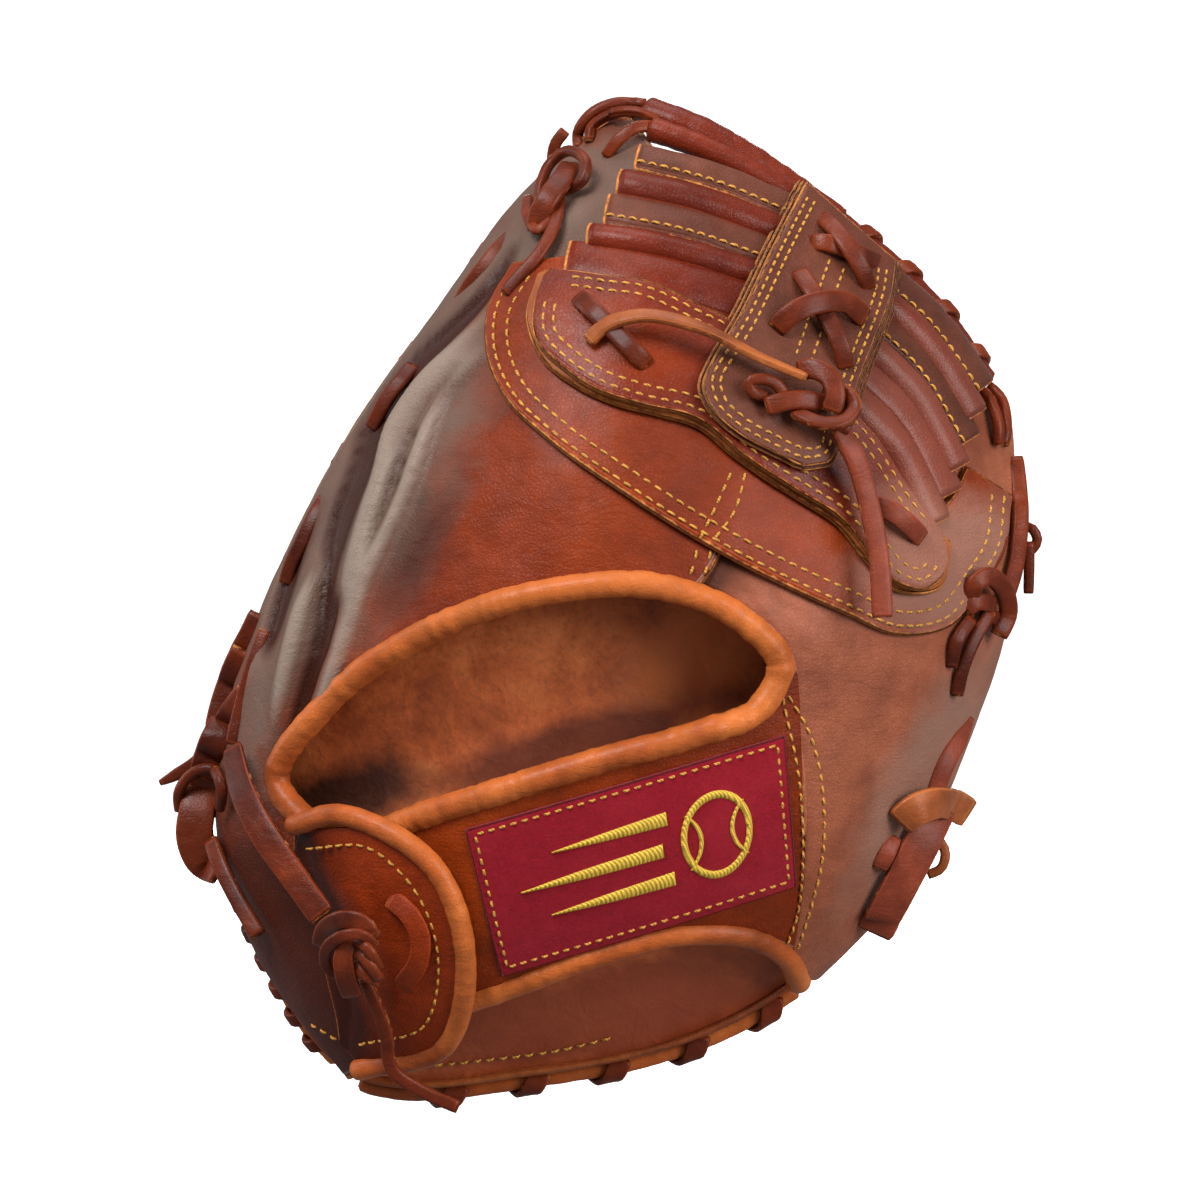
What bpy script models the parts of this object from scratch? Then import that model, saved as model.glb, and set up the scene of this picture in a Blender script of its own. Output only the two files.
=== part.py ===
"""A baseball catcher's mitt for the left hand, held upright with its back towards -Y.

Each leather piece lies on one of three surfaces, given as a height in Y over a place (x, z):
the back, a dome over the hand; the palm, a padded ring round the pocket; and the lining
between them. They share one outline, the rim. A lift is a distance from a surface towards
the wearer, so that a negative lift goes towards the palm side. Sizes are in millimetres.
"""

import math

import bmesh
import bpy
import numpy as np
from mathutils import Vector

MM = 0.001

# Depths, along Y.
RIM_Y = 58.0
BACK_SUMMIT_Y = -8.0
LINING_Y = 30.0
POCKET_Y = 46.0
CREST_Y = 84.0
CURL_ACROSS = 12.0  # how far the sides curl towards the palm, 100 mm from the middle
CURL_ALONG = 6.0  # the same for the heel and the web
CURL_REACH = 100.0

# Profiles: a smaller roundness brings a dome nearer to upright at the rim.
BACK_ROUNDNESS = 0.55
WEB_ROUNDNESS = 0.9
ROLL_ROUNDNESS = 0.6
CREST_SHARE = 0.78  # the padded ring's crest, as a share of the way from the pocket to the rim
WEB_THICKNESS = 12.0
BACK_CENTRE = (20, 23)
POCKET_CENTRE = (42, 36)
WEB_HEADING = math.radians(54)
WEB_HALF_ANGLE = math.radians(42)
WEB_START = 0.35  # the share of the way to the rim at which the palm thins into the web
WEB_FULL = 0.6

FINE_STEPS = 24  # points between two controls of a curve, before it is divided evenly

# Leather, laces and rolls.
LEATHER = 2.2
PALM_LEATHER = 3.0
THIN_LEATHER = 1.4
FELT = 1.2
GAP = 0.8
LACE_WIDTH = 6.0
LACE_THICKNESS = 2.4
CORD_RADIUS = 3.0
THIN_CORD_RADIUS = 2.5
OPENING_ROLL = 4.2
EDGE_ROLL = 3.2
WELT = 2.2
STRIP_THICKNESS = 4.0

# Lifts over the back, in the order in which pieces lie on it.
BAND_LIFT = LEATHER + GAP
STRIP_LIFT = BAND_LIFT + LEATHER + GAP
SPINE_LIFT = STRIP_LIFT + STRIP_THICKNESS + GAP
FACING_LIFT = SPINE_LIFT + LEATHER + GAP
CROSS_LACE_LIFT = FACING_LIFT + LEATHER + GAP
FLAP_LIFT = OPENING_ROLL + EDGE_ROLL + GAP
OVER_FLAP = FLAP_LIFT + LEATHER / 2 + EDGE_ROLL + GAP

# The mitt folds about the line between these two points.
FOLD_HEEL = (84, 44, -86)
FOLD_TOP = (92, 40, 145)
FOLD_GAP = 1.5  # from the fold to the leather on each side

RIM = [
    (-54, -115), (-83, -75), (-94, -38), (-88, 3), (-71, 46), (-52, 81), (-29, 113), (8, 160),
    (35, 178), (87, 151), (136, 96), (145, 52), (129, -12), (102, -66), (61, -98), (3, -114),
]

TAN = (0.50, 0.19, 0.05)
BROWN = (0.26, 0.07, 0.025)
DARK_BROWN = (0.15, 0.05, 0.03)
LINING_BROWN = (0.30, 0.12, 0.04)
LACE_RED = (0.17, 0.045, 0.02)
FELT_RED = (0.33, 0.01, 0.04)
PAD_WHITE = (0.75, 0.70, 0.60)


# ---- Curves and surfaces ---------------------------------------------------------------------

def fine_curve(controls, closed=False):
    """Close points along a smooth curve, how far along each is, and how far each control is."""
    knots = np.array(controls, float)
    if closed:
        knots = np.vstack([knots[-1:], knots, knots[:2]])
    chords = np.linalg.norm(np.diff(knots, axis=0), axis=1)
    at = np.concatenate([[0.0], np.cumsum(chords)])
    slopes = np.gradient(knots, at, axis=0)
    first, last = (1, len(knots) - 2) if closed else (0, len(knots) - 1)
    t = np.linspace(0, 1, FINE_STEPS, endpoint=False)[:, None]
    fine = []
    for i in range(first, last):
        span = at[i + 1] - at[i]
        fine.append(
            (2 * t**3 - 3 * t**2 + 1) * knots[i] + (t**3 - 2 * t**2 + t) * span * slopes[i]
            + (3 * t**2 - 2 * t**3) * knots[i + 1] + (t**3 - t**2) * span * slopes[i + 1]
        )
    fine = np.vstack(fine + [knots[last:last + 1]])
    travelled = np.concatenate([[0.0], np.cumsum(np.linalg.norm(np.diff(fine, axis=0), axis=1))])
    return fine, travelled, travelled[::FINE_STEPS]


def along_curve(fine, travelled, wanted):
    return np.stack([np.interp(wanted, travelled, axis) for axis in fine.T], axis=-1)


def smooth_curve(controls, count, closed=False):
    """Points at even distances along a smooth curve through the controls."""
    fine, travelled, _ = fine_curve(controls, closed)
    return along_curve(fine, travelled, np.linspace(0, travelled[-1], count, endpoint=not closed))


RIM_CURVE = smooth_curve(RIM, 720, closed=True)


def rim_radius(angles, centre):
    """How far the rim is from a centre, in each direction."""
    offsets = RIM_CURVE - centre
    headings = np.arctan2(offsets[:, 1], offsets[:, 0])
    return np.interp(angles, headings, np.linalg.norm(offsets, axis=1), period=2 * math.pi)


def rim_share(places, centre):
    """Where places are on the way from a centre, 0, to the rim, 1."""
    offsets = places - np.array(centre)
    angles = np.arctan2(offsets[..., 1], offsets[..., 0])
    return np.linalg.norm(offsets, axis=-1) / rim_radius(angles, centre)


def smooth_step(value, low, high):
    t = np.clip((value - low) / (high - low), 0, 1)
    return t * t * (3 - 2 * t)


def in_web_direction(places):
    """1 straight towards the web, falling to 0 on either side of it."""
    offsets = places - np.array(BACK_CENTRE)
    turn = np.arctan2(offsets[..., 1], offsets[..., 0]) - WEB_HEADING
    turn = np.abs((turn + math.pi) % (2 * math.pi) - math.pi)
    return 1 - smooth_step(turn, 0.5 * WEB_HALF_ANGLE, 1.4 * WEB_HALF_ANGLE)


def curl(places):
    across, along = np.moveaxis((places - np.array(POCKET_CENTRE)) / CURL_REACH, -1, 0)
    return CURL_ACROSS * across**2 + CURL_ALONG * along**2


def dome(places):
    """1 at the centre of the back, 0 at the rim."""
    roundness = BACK_ROUNDNESS + (WEB_ROUNDNESS - BACK_ROUNDNESS) * in_web_direction(places)
    share = rim_share(places, BACK_CENTRE)
    return np.clip(1 - share**2, 0, 1) ** roundness


def back(places):
    return RIM_Y - (RIM_Y - BACK_SUMMIT_Y) * dome(places) + curl(places)


def lining(places):
    return RIM_Y - (RIM_Y - LINING_Y) * dome(places) + curl(places)


def palm(places):
    """The inner face of the palm leather."""
    share = rim_share(places, POCKET_CENTRE)
    bowl = (1 - np.cos(math.pi * np.clip(share / CREST_SHARE, 0, 1))) / 2
    inside = POCKET_Y + (CREST_Y - POCKET_Y) * bowl
    past_crest = np.clip((share - CREST_SHARE) / (1 - CREST_SHARE), 0, 1)
    outside = RIM_Y + (CREST_Y - RIM_Y) * (1 - past_crest**2) ** ROLL_ROUNDNESS
    ring = np.where(share < CREST_SHARE, inside, outside) + curl(places)
    thin = in_web_direction(places) * smooth_step(rim_share(places, BACK_CENTRE), WEB_START, WEB_FULL)
    return ring * (1 - thin) + (back(places) + WEB_THICKNESS) * thin


def normals_of(surface, places):
    step = 0.4
    slope_x = (surface(places + (step, 0)) - surface(places - (step, 0))) / (2 * step)
    slope_z = (surface(places + (0, step)) - surface(places - (0, step))) / (2 * step)
    normals = np.stack([slope_x, -np.ones_like(slope_x), slope_z], axis=-1)
    return normals / np.linalg.norm(normals, axis=-1, keepdims=True)


def lifted(surface, places, lift, seen_lift=None):
    """Points at a lift from a surface.

    What lies at the seen lift, or at the lift itself, has the places as its x and z.
    """
    places = np.asarray(places, float)
    lift = np.asarray(lift, float)[..., None]
    seen = lift if seen_lift is None else seen_lift
    foot = places
    for _ in range(12):
        foot = (foot + places - seen * normals_of(surface, foot)[..., [0, 2]]) / 2
    points = np.stack([foot[..., 0], surface(foot), foot[..., 1]], axis=-1)
    return points + lift * normals_of(surface, foot)


def fold_x(z):
    """Where the fold line is at a height, seen from the back."""
    share = (z - FOLD_HEEL[2]) / (FOLD_TOP[2] - FOLD_HEEL[2])
    return FOLD_HEEL[0] + share * (FOLD_TOP[0] - FOLD_HEEL[0])


# ---- Ways to make a piece --------------------------------------------------------------------

def material(name, colour, roughness=0.5):
    leather = bpy.data.materials.new(name)
    leather.use_nodes = True
    shader = leather.node_tree.nodes["Principled BSDF"]
    shader.inputs["Base Color"].default_value = (*colour, 1)
    shader.inputs["Roughness"].default_value = roughness
    shader.inputs["Metallic"].default_value = 0
    return leather


def add_piece(name, data, colour, body):
    """Link a piece to the mitt, in its colour and on its body."""
    piece = bpy.data.objects.new(name, data)
    data.materials.append(material(name, colour))
    MITT.objects.link(piece)
    piece.parent = BODIES[body]
    piece.matrix_parent_inverse = BODIES[body].matrix_world.inverted()
    return piece


def slab(name, places, bottom, top, colour, body, cells=(16, 6)):
    """A closed piece between two surfaces; places(u, v) gives where it is, for shares u and v."""
    mesh = bmesh.new()
    bmesh.ops.create_grid(mesh, x_segments=cells[0], y_segments=cells[1], size=1)
    bmesh.ops.triangulate(mesh, faces=mesh.faces[:])
    lower = list(mesh.verts)
    shares = np.array([[(v.co.x + 1) / 2, (v.co.y + 1) / 2] for v in lower])
    over = places(shares[:, 0], shares[:, 1])
    extruded = bmesh.ops.extrude_face_region(mesh, geom=mesh.faces[:])["geom"]
    upper = [item for item in extruded if isinstance(item, bmesh.types.BMVert)]
    places_by_grid = {(round(v.co.x, 4), round(v.co.y, 4)): i for i, v in enumerate(lower)}
    order = [places_by_grid[round(v.co.x, 4), round(v.co.y, 4)] for v in upper]
    for vertex, point in zip(lower, bottom(over)):
        vertex.co = point * MM
    for vertex, point in zip(upper, top(over[order])):
        vertex.co = point * MM
    bmesh.ops.recalc_face_normals(mesh, faces=mesh.faces[:])
    data = bpy.data.meshes.new(name)
    mesh.to_mesh(data)
    mesh.free()
    data.shade_smooth()
    data.set_sharp_from_angle(angle=math.radians(40))
    return add_piece(name, data, colour, body)


def between(side_a, side_b):
    """Places between two curves, u along them and v from the first to the second.

    Both have the same number of controls, and each control is opposite its partner.
    """
    sides = [fine_curve(side) for side in (side_a, side_b)]
    shares = np.linspace(0, 1, len(side_a))

    def places(u, v):
        a, b = (along_curve(fine, travelled, np.interp(u, shares, at)) for fine, travelled, at in sides)
        return a + (b - a) * v[:, None]

    return places


def disc(centre, reach):
    """Places over a round area; reach(angle) is how far it goes from its centre."""
    def places(u, v):
        across, along = 2 * u - 1, 2 * v - 1
        x = across * np.sqrt(1 - along**2 / 2)
        z = along * np.sqrt(1 - across**2 / 2)
        angles = np.arctan2(z, x)
        far = np.hypot(x, z) * reach(angles)
        return np.stack([centre[0] + far * np.cos(angles), centre[1] + far * np.sin(angles)], axis=-1)

    return places


def panel(name, places, surface, lift, thickness, colour, body, cells=(16, 6)):
    """A piece of even thickness that lies on a surface."""
    middle = lift + thickness / 2

    def face(height):
        return lambda over: lifted(surface, over, height, middle)

    return slab(name, places, face(lift), face(lift + thickness), colour, body, cells)


def ribbon(name, controls, width, lift, thickness, colour, body, cells=(12, 1)):
    """A flat lace or strip along a path on the back."""
    path = smooth_curve(controls, 60)
    heading = np.gradient(path, axis=0)
    heading /= np.linalg.norm(heading, axis=1, keepdims=True)
    sideways = np.stack([-heading[:, 1], heading[:, 0]], axis=-1) * width / 2
    return panel(name, between(path - sideways, path + sideways), back, lift, thickness, colour, body, cells)


def tube(name, points, radius, colour, body, sides=2):
    """A round piece along points, as a filled curve."""
    curve = bpy.data.curves.new(name, "CURVE")
    curve.dimensions = "3D"
    curve.bevel_depth = radius * MM
    curve.bevel_resolution = sides
    curve.use_fill_caps = True
    spline = curve.splines.new("POLY")
    spline.points.add(len(points) - 1)
    for target, point in zip(spline.points, points):
        target.co = (*(point * MM), 1)
    return add_piece(name, curve, colour, body)


def roll(name, controls, radius, lift, colour, body, count=30, sides=2):
    """A rolled edge along a path on the back."""
    return tube(name, lifted(back, smooth_curve(controls, count), lift), radius, colour, body, sides)


def knot(name, place, lift, size, colour, body):
    """A knot, as a rounded lump on the back; its size is its width, its height and its depth."""
    over = np.array([place], float)
    centre = lifted(back, over, lift)[0]
    outward = Vector(normals_of(back, over)[0])
    mesh = bmesh.new()
    bmesh.ops.create_uvsphere(mesh, u_segments=12, v_segments=8, radius=0.5)
    bmesh.ops.scale(mesh, vec=Vector(size) * MM, verts=mesh.verts)
    bmesh.ops.rotate(mesh, matrix=outward.to_track_quat("Z", "Y").to_matrix(), verts=mesh.verts)
    bmesh.ops.translate(mesh, vec=centre * MM, verts=mesh.verts)
    data = bpy.data.meshes.new(name)
    mesh.to_mesh(data)
    mesh.free()
    data.shade_smooth()
    return add_piece(name, data, colour, body)


def rim_path(start, end, count):
    """Points on the rim, clockwise from the place nearest to start to the one nearest to end."""
    first, last = (int(np.argmin(np.linalg.norm(RIM_CURVE - place, axis=1))) for place in (start, end))
    if last < first:
        last += len(RIM_CURVE)
    places = RIM_CURVE[np.linspace(first, last, count).round().astype(int) % len(RIM_CURVE)]
    return np.stack([places[:, 0], RIM_Y + curl(places), places[:, 1]], axis=-1)


def beside_rim(start, end, outward, depth, count):
    """Points beside the rim, a distance outwards from it and a depth towards the palm."""
    path = rim_path(start, end, count)
    forward = np.gradient(path, axis=0)
    forward /= np.linalg.norm(forward, axis=1, keepdims=True)
    away = np.stack([-forward[:, 2], np.zeros(count), forward[:, 0]], axis=-1)
    return path + outward * away + np.array([0, depth, 0])


def whip_lace(name, path, pitch, body):
    """A lace wound round a welt, one turn for each pitch."""
    radius = WELT + GAP + LACE_THICKNESS / 2
    length = np.linalg.norm(np.diff(path, axis=0), axis=1).sum()
    turns = max(1, round(length / pitch))
    points_per_turn, end_gap = 9, 0.02
    count = turns * points_per_turn + 1
    at = np.linspace(0, 1, len(path))
    share = np.linspace(end_gap, 1 - end_gap, count)
    points = np.stack([np.interp(share, at, axis) for axis in path.T], axis=-1)
    forward = np.gradient(points, axis=0)
    forward /= np.linalg.norm(forward, axis=1, keepdims=True)
    depth = np.array([0.0, 1.0, 0.0]) - forward * forward[:, 1:2]
    depth /= np.linalg.norm(depth, axis=1, keepdims=True)
    outward = np.cross(forward, depth)
    turn = 2 * math.pi * turns * np.linspace(0, 1, count)[:, None]
    wound = points + radius * (np.cos(turn) * depth + np.sin(turn) * outward)
    return tube(name, wound, LACE_THICKNESS / 2, LACE_RED, body, sides=1)


# ---- Back and hand opening -------------------------------------------------------------------

def make_back():
    silhouette = [
        (-52, -109), (-78, -75), (-90, -40), (-85, 0), (-76, 26), (-66, 50), (-57, 68), (-51, 79),
        (-45, 88), (-38, 98), (-30, 108), (-16, 125), (-4, 141), (9, 156), (28, 170),
    ]
    inner_edge = [
        (-40, -104), (-60, -78), (-82, -36), (-66, 6), (-34, 28.5), (6, 40), (44, 41), (52, 49),
        (40, 57), (23, 68), (8, 80), (-7, 101), (-2, 120), (12, 140), (26, 160),
    ]
    panel("finger_back", between(silhouette, inner_edge), back, 0, LEATHER, BROWN, "finger_side", (30, 7))
    panel("thumb_back_crotch", between([(50, 39), (66, 33), (83, 20)], [(58, 49), (70, 44), (84, 36)]),
          back, 0, LEATHER, BROWN, "finger_side", (8, 3))
    fold_side = [(88, -70), (88.5, -40), (89.5, 0), (92, 22), (108, 25), (122, 33), (133, 56)]
    thumb_edge = [(97, -69), (112, -44), (123, -20), (134, 10), (141, 32), (143, 48), (143, 60)]
    panel("thumb_back", between(fold_side, thumb_edge), back, 0, LEATHER, BROWN, "thumb_side", (16, 5))


def make_stall():
    """The leather between the back and the fingers."""
    outer = [(-78, 6), (-68, 30), (-45, 66), (-14, 106)]
    inner = [(-62, 12), (-36, 34), (6, 46), (14, 60)]
    depth = -(THIN_LEATHER + 2 * GAP)
    panel("finger_stall", between(outer, inner), back, depth, THIN_LEATHER, LINING_BROWN, "finger_side", (12, 6))


def make_opening():
    """The rolled edge round the hand opening; it runs on along the top of the wrist strap."""
    edge = [
        (-48, -40), (-66, -34), (-74, -26), (-58, 0), (-29, 20), (9, 32), (36, 33), (60, 24),
        (72, 10), (66, -2), (49, -9), (20, -17), (-9, -26), (-38, -36),
    ]
    roll("hand_opening_binding", edge, OPENING_ROLL, LEATHER / 2, TAN, "finger_side", 38)


def make_strap():
    top = [(-36, -42), (-9, -32), (22, -23), (50, -15), (66, -8), (79, 0)]
    bottom = [(-26, -84), (-17, -82), (20, -68), (48, -62), (68, -66), (78, -72)]
    panel("wrist_strap", between(top, bottom), back, 0, LEATHER, BROWN, "finger_side", (16, 5))
    roll("strap_lower_binding", [(-24, -90), (-12, -86), (20, -74), (48, -67.5), (70, -72), (79, -84)],
         EDGE_ROLL, LEATHER / 2, TAN, "finger_side", 24)
    patch_top = [(-18, -37), (73, -10)]
    patch_bottom = [(-8, -80), (77, -54)]
    panel("label_patch", between(patch_top, patch_bottom), back, LEATHER + GAP, FELT, FELT_RED,
          "finger_side", (10, 4))


def make_flap():
    outer = [(-66, -40), (-46, -39), (-32, -50), (-23, -75), (-29, -98), (-50, -105)]
    inner = [(-68, -46), (-64, -54), (-60, -66), (-57, -80), (-55, -92), (-56, -102)]
    panel("wrist_flap", between(inner, outer), back, FLAP_LIFT, LEATHER, BROWN, "finger_side", (10, 5))
    edge = [(-70, -37), (-56, -33), (-42, -37), (-28, -47), (-18.5, -75), (-25, -101), (-52, -110)]
    roll("wrist_flap_binding", edge, EDGE_ROLL, FLAP_LIFT + LEATHER / 2, TAN, "finger_side", 28)


def make_wrist_lace():
    ribbon("wrist_lace", [(-86, -14), (-78, -32), (-68, -50), (-60, -61)], 9, OVER_FLAP, LACE_THICKNESS,
           LACE_RED, "finger_side")
    knot("wrist_knot", (-53, -71), OVER_FLAP + 5, (12, 14, 9), LACE_RED, "finger_side")
    tail = lifted(back, smooth_curve([(-48, -80), (-44, -90), (-41, -99)], 8), OVER_FLAP + 4)
    end = np.array([(-40, 0, -108), (-32, 0, -114), (-21, 0, -119)], float)
    end[:, 1] = tail[-1, 1] + np.array([3, 5, 6])
    route = smooth_curve(np.vstack([tail[::3], end]), 20)
    tube("wrist_tail", route, THIN_CORD_RADIUS, LACE_RED, "finger_side")


# ---- Palm, lining and pads -------------------------------------------------------------------

def reach_of(centre, share, web_share):
    """How far a palm-side piece goes from a centre: a share of the rim, and less in the web."""
    def reach(angles):
        full = rim_radius(angles, centre)
        ends = np.stack([centre[0] + full * np.cos(angles), centre[1] + full * np.sin(angles)], axis=-1)
        return full * (share + (web_share - share) * in_web_direction(ends))

    return reach


def up_to_fold(reach, centre, gap):
    """A reach that also stops short of the fold."""
    def stopped(angles):
        slope = (FOLD_TOP[0] - FOLD_HEEL[0]) / (FOLD_TOP[2] - FOLD_HEEL[2])
        towards = np.cos(angles) - slope * np.sin(angles)
        distance = (fold_x(centre[1]) - gap - centre[0]) / np.maximum(towards, 1e-3)
        return np.minimum(reach(angles), distance)

    return stopped


def make_palm():
    place = disc(POCKET_CENTRE, reach_of(POCKET_CENTRE, 0.97, 0.55))
    panel("palm_leather", place, palm, -PALM_LEATHER, PALM_LEATHER, BROWN, "finger_side", (18, 18))


def make_lining():
    centre = (10, -12)
    reach = up_to_fold(reach_of(centre, 0.94, 0.42), centre, FOLD_GAP)
    panel("palm_lining", disc(centre, reach), lining, -THIN_LEATHER, THIN_LEATHER, LINING_BROWN,
          "finger_side", (14, 14))
    panel("thumb_stall", between([(88, -54), (89, -20), (91, 12)], [(100, -52), (114, -22), (122, 10)]),
          lining, -THIN_LEATHER, THIN_LEATHER, LINING_BROWN, "thumb_side", (8, 4))


def pad_between(name, inner, outer, body, cells):
    """A felt pad between two curves, filling the space from the lining to the palm leather."""
    def wearer_side(over):
        return np.stack([over[:, 0], lining(over) + THIN_LEATHER + 2 * GAP, over[:, 1]], axis=-1)

    def palm_side(over):
        return np.stack([over[:, 0], palm(over) - 3 * GAP, over[:, 1]], axis=-1)

    slab(name, between(inner, outer), wearer_side, palm_side, PAD_WHITE, body, cells)


def share_curve(centre, share, start, end, count=12):
    """Places at a share of the way from a centre to the rim, between two directions in degrees."""
    angles = np.radians(np.linspace(start, end, count))
    far = share * rim_radius(angles, centre)
    return np.stack([centre[0] + far * np.cos(angles), centre[1] + far * np.sin(angles)], axis=-1)


def make_pads():
    centre = POCKET_CENTRE
    outer, inner = 0.90, 0.56
    pad_between("finger_pad", share_curve(centre, inner, 118, 205), share_curve(centre, outer, 118, 205),
                "finger_side", (16, 5))
    pad_between("heel_pad", share_curve(centre, inner, 207, 291), share_curve(centre, outer, 207, 286),
                "finger_side", (14, 5))
    inner_side = [(98, -46), (99, -20), (100, 6), (103, 24)]
    outer_side = [(104, -50), (114, -24), (123, 0), (127, 18)]
    pad_between("thumb_pad", inner_side, outer_side, "thumb_side", (10, 4))
    pad_between("pocket_pad", [(4, 60), (2, 36), (6, 10), (18, -8)], [(30, 68), (54, 56), (66, 22), (62, -6)],
                "finger_side", (8, 8))


# ---- Web -------------------------------------------------------------------------------------

def make_web_base():
    panel("web_base_finger", between([(-4, 124), (-13, 100), (8, 75), (55, 46), (85, 30)],
                                     [(10, 122), (5, 103), (22, 88), (62, 66), (86, 51)]),
          back, BAND_LIFT, LEATHER, BROWN, "finger_side", (16, 3))
    panel("web_base_thumb", between([(91, 28), (104, 22), (122, 24), (134, 36), (138, 60)],
                                    [(91, 50), (101, 42), (114, 42), (122, 52), (127, 66)]),
          back, BAND_LIFT, LEATHER, BROWN, "thumb_side", (12, 3))


def make_crescent():
    panel("web_crescent_finger", between([(3, 118), (6, 97), (32, 78), (62, 64), (85, 50)],
                                         [(10, 126), (30, 119), (48, 112), (66, 100), (87, 84)]),
          back, STRIP_LIFT, LEATHER, BROWN, "finger_side", (14, 4))
    panel("web_crescent_thumb", between([(91, 46), (98, 40), (106, 35), (112, 34), (118, 38)],
                                        [(92, 78), (98, 72), (107, 64), (115, 54), (120, 44)]),
          back, STRIP_LIFT, LEATHER, BROWN, "thumb_side", (8, 4))


def part_way(first, last, share):
    return tuple(np.array(first) + (np.array(last) - np.array(first)) * share)


def web_strip(name, side_end, middle_end, width, body):
    bow = (np.array(side_end) + np.array(middle_end)) / 2 + (0.8, 1.5)
    ribbon(name, [side_end, bow, middle_end], width, STRIP_LIFT, STRIP_THICKNESS, DARK_BROWN, body, (8, 1))


def make_strips():
    for i in range(4):
        side_end = part_way((30, 157), (17, 131), i / 3)
        middle_end = part_way((87, 135), (82, 104), i / 3)
        web_strip(f"web_strip_finger_{i + 1}", side_end, middle_end, 8, "finger_side")
    for i in range(5):
        side_end = part_way((134, 86), (124, 57), i / 4)
        middle_end = part_way((97, 125), (95, 92), i / 4)
        web_strip(f"web_strip_thumb_{i + 1}", side_end, middle_end, 4.6, "thumb_side")


def make_top_strap():
    ribbon("web_top_finger", [(38, 173), (60, 164), (89, 148)], 8, GAP, 6, BROWN, "finger_side", (8, 1))
    ribbon("web_top_thumb", [(96, 142), (113, 125), (131, 102)], 7, GAP, 5, BROWN, "thumb_side", (8, 1))


def make_spine():
    left = [(77, 152), (64, 128), (53, 106), (47, 88)]
    right = [(109, 127), (101, 107), (94, 88), (86, 66)]
    panel("web_spine_strap", between(left, right), back, SPINE_LIFT, LEATHER, BROWN, "web_spine", (12, 6))
    left = [(79, 149), (68, 128), (57, 106), (52, 91)]
    right = [(106, 127), (99, 107), (92, 88), (84, 71)]
    panel("web_spine_facing", between(left, right), back, FACING_LIFT, LEATHER, BROWN, "web_spine", (12, 5))


def make_web_laces():
    zigzag = [(82, 138), (97, 127), (80, 122), (94, 113), (76, 108), (84, 98)]
    roll("web_cross_lace", zigzag, LACE_THICKNESS / 2, CROSS_LACE_LIFT + LACE_THICKNESS / 2, LACE_RED,
         "web_spine", 32, sides=1)
    knot("web_knot", (79, 88), CROSS_LACE_LIFT + 5, (17, 15, 9), LACE_RED, "web_spine")
    route = [(88, 78), (93, 70), (97, 57), (100, 42), (101, 24)]
    tail = lifted(back, smooth_curve(route, 7), [20, 20, 18, 17, 16, 16, 16])
    tube("web_tail", smooth_curve(tail, 22), CORD_RADIUS, LACE_RED, "web_spine")
    loop = lifted(back, np.array([(17, 103), (30, 110), (48, 106), (66, 96)]), [13, 18, 20, 20])
    tube("web_loop_lace", smooth_curve(loop, 18), 1.8, LACE_RED, "web_spine", sides=1)


# ---- Edges and their laces -------------------------------------------------------------------

def make_edges():
    welts = {
        "heel_binding": ((79, -87), (-51, -114), "finger_side"),
        "finger_edge_welt": ((-59, -110), (30, 176), "finger_side"),
        "thumb_edge_welt": ((144, 60), (91, -76), "thumb_side"),
    }
    for name, (start, end, body) in welts.items():
        tube(name, rim_path(start, end, 26), WELT, TAN, body, sides=1)
    whip_lace("heel_lace", rim_path((76, -89), (-40, -112), 60), 24, "finger_side")
    whip_lace("heel_corner_lace", rim_path((-62, -107), (-90, -58), 60), 10, "finger_side")
    whip_lace("finger_edge_lace", rim_path((-80, 30), (2, 151), 60), 40, "finger_side")
    whip_lace("web_edge_lace", beside_rim((99, 143), (141, 84), 6, 3, 60), 14, "thumb_side")


def make_finger_laces():
    tube("little_finger_lace", beside_rim((-95, -16), (-84, 20), 9, -4, 10), CORD_RADIUS, LACE_RED,
         "finger_side")
    knot("little_finger_knot", (-93, -33), 13, (16, 24, 12), LACE_RED, "finger_side")
    tail = [(-96, 71, -43), (-93, 66, -50), (-88.5, 62, -58.5), (-81, 57, -70.5)]
    tube("little_finger_tail", smooth_curve(tail, 14), THIN_CORD_RADIUS, LACE_RED, "finger_side")
    tube("fingertip_lace", beside_rim((8, 158), (34, 177), 6, -4, 10), LACE_THICKNESS, LACE_RED,
         "finger_side")
    knot("fingertip_knot", (13, 151), 9, (12, 15, 9), LACE_RED, "finger_side")
    ribbon("fingertip_tail", [(6, 142), (-1, 131), (-6, 119)], LACE_WIDTH, 6, LACE_THICKNESS, LACE_RED,
           "finger_side", (6, 1))


def make_thumb_laces():
    tube("thumb_lace", beside_rim((142, 74), (144, 34), 8, 0, 10), CORD_RADIUS, LACE_RED, "thumb_side")
    knot("thumb_knot", (135, 28), 11, (15, 16, 10), LACE_RED, "thumb_side")
    ribbon("thumb_knot_tail", [(128, 15), (126, 8), (125, -1)], LACE_WIDTH, 4, LACE_THICKNESS, LACE_RED,
           "thumb_side", (6, 3))
    knot("thumb_strap_loop", (118, -32), 9, (20, 14, 9), LACE_RED, "thumb_side")
    ribbon("thumb_strap_tail", [(112, -43), (107, -54), (101, -64)], 11, 5, LACE_THICKNESS, LACE_RED,
           "thumb_side", (6, 4))


# ---- The mitt --------------------------------------------------------------------------------

def clear_scene():
    for leftover in list(bpy.data.objects):
        bpy.data.objects.remove(leftover, do_unlink=True)


def make_bodies():
    """An empty for each moving body; the two that move have theirs on the fold."""
    bodies = {}
    for name, place in (("finger_side", (0, 0, 0)), ("thumb_side", FOLD_HEEL), ("web_spine", FOLD_HEEL)):
        empty = bpy.data.objects.new(name + "_body", None)
        empty.location = np.array(place) * MM
        MITT.objects.link(empty)
        bodies[name] = empty
    bpy.context.view_layer.update()
    return bodies


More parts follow.
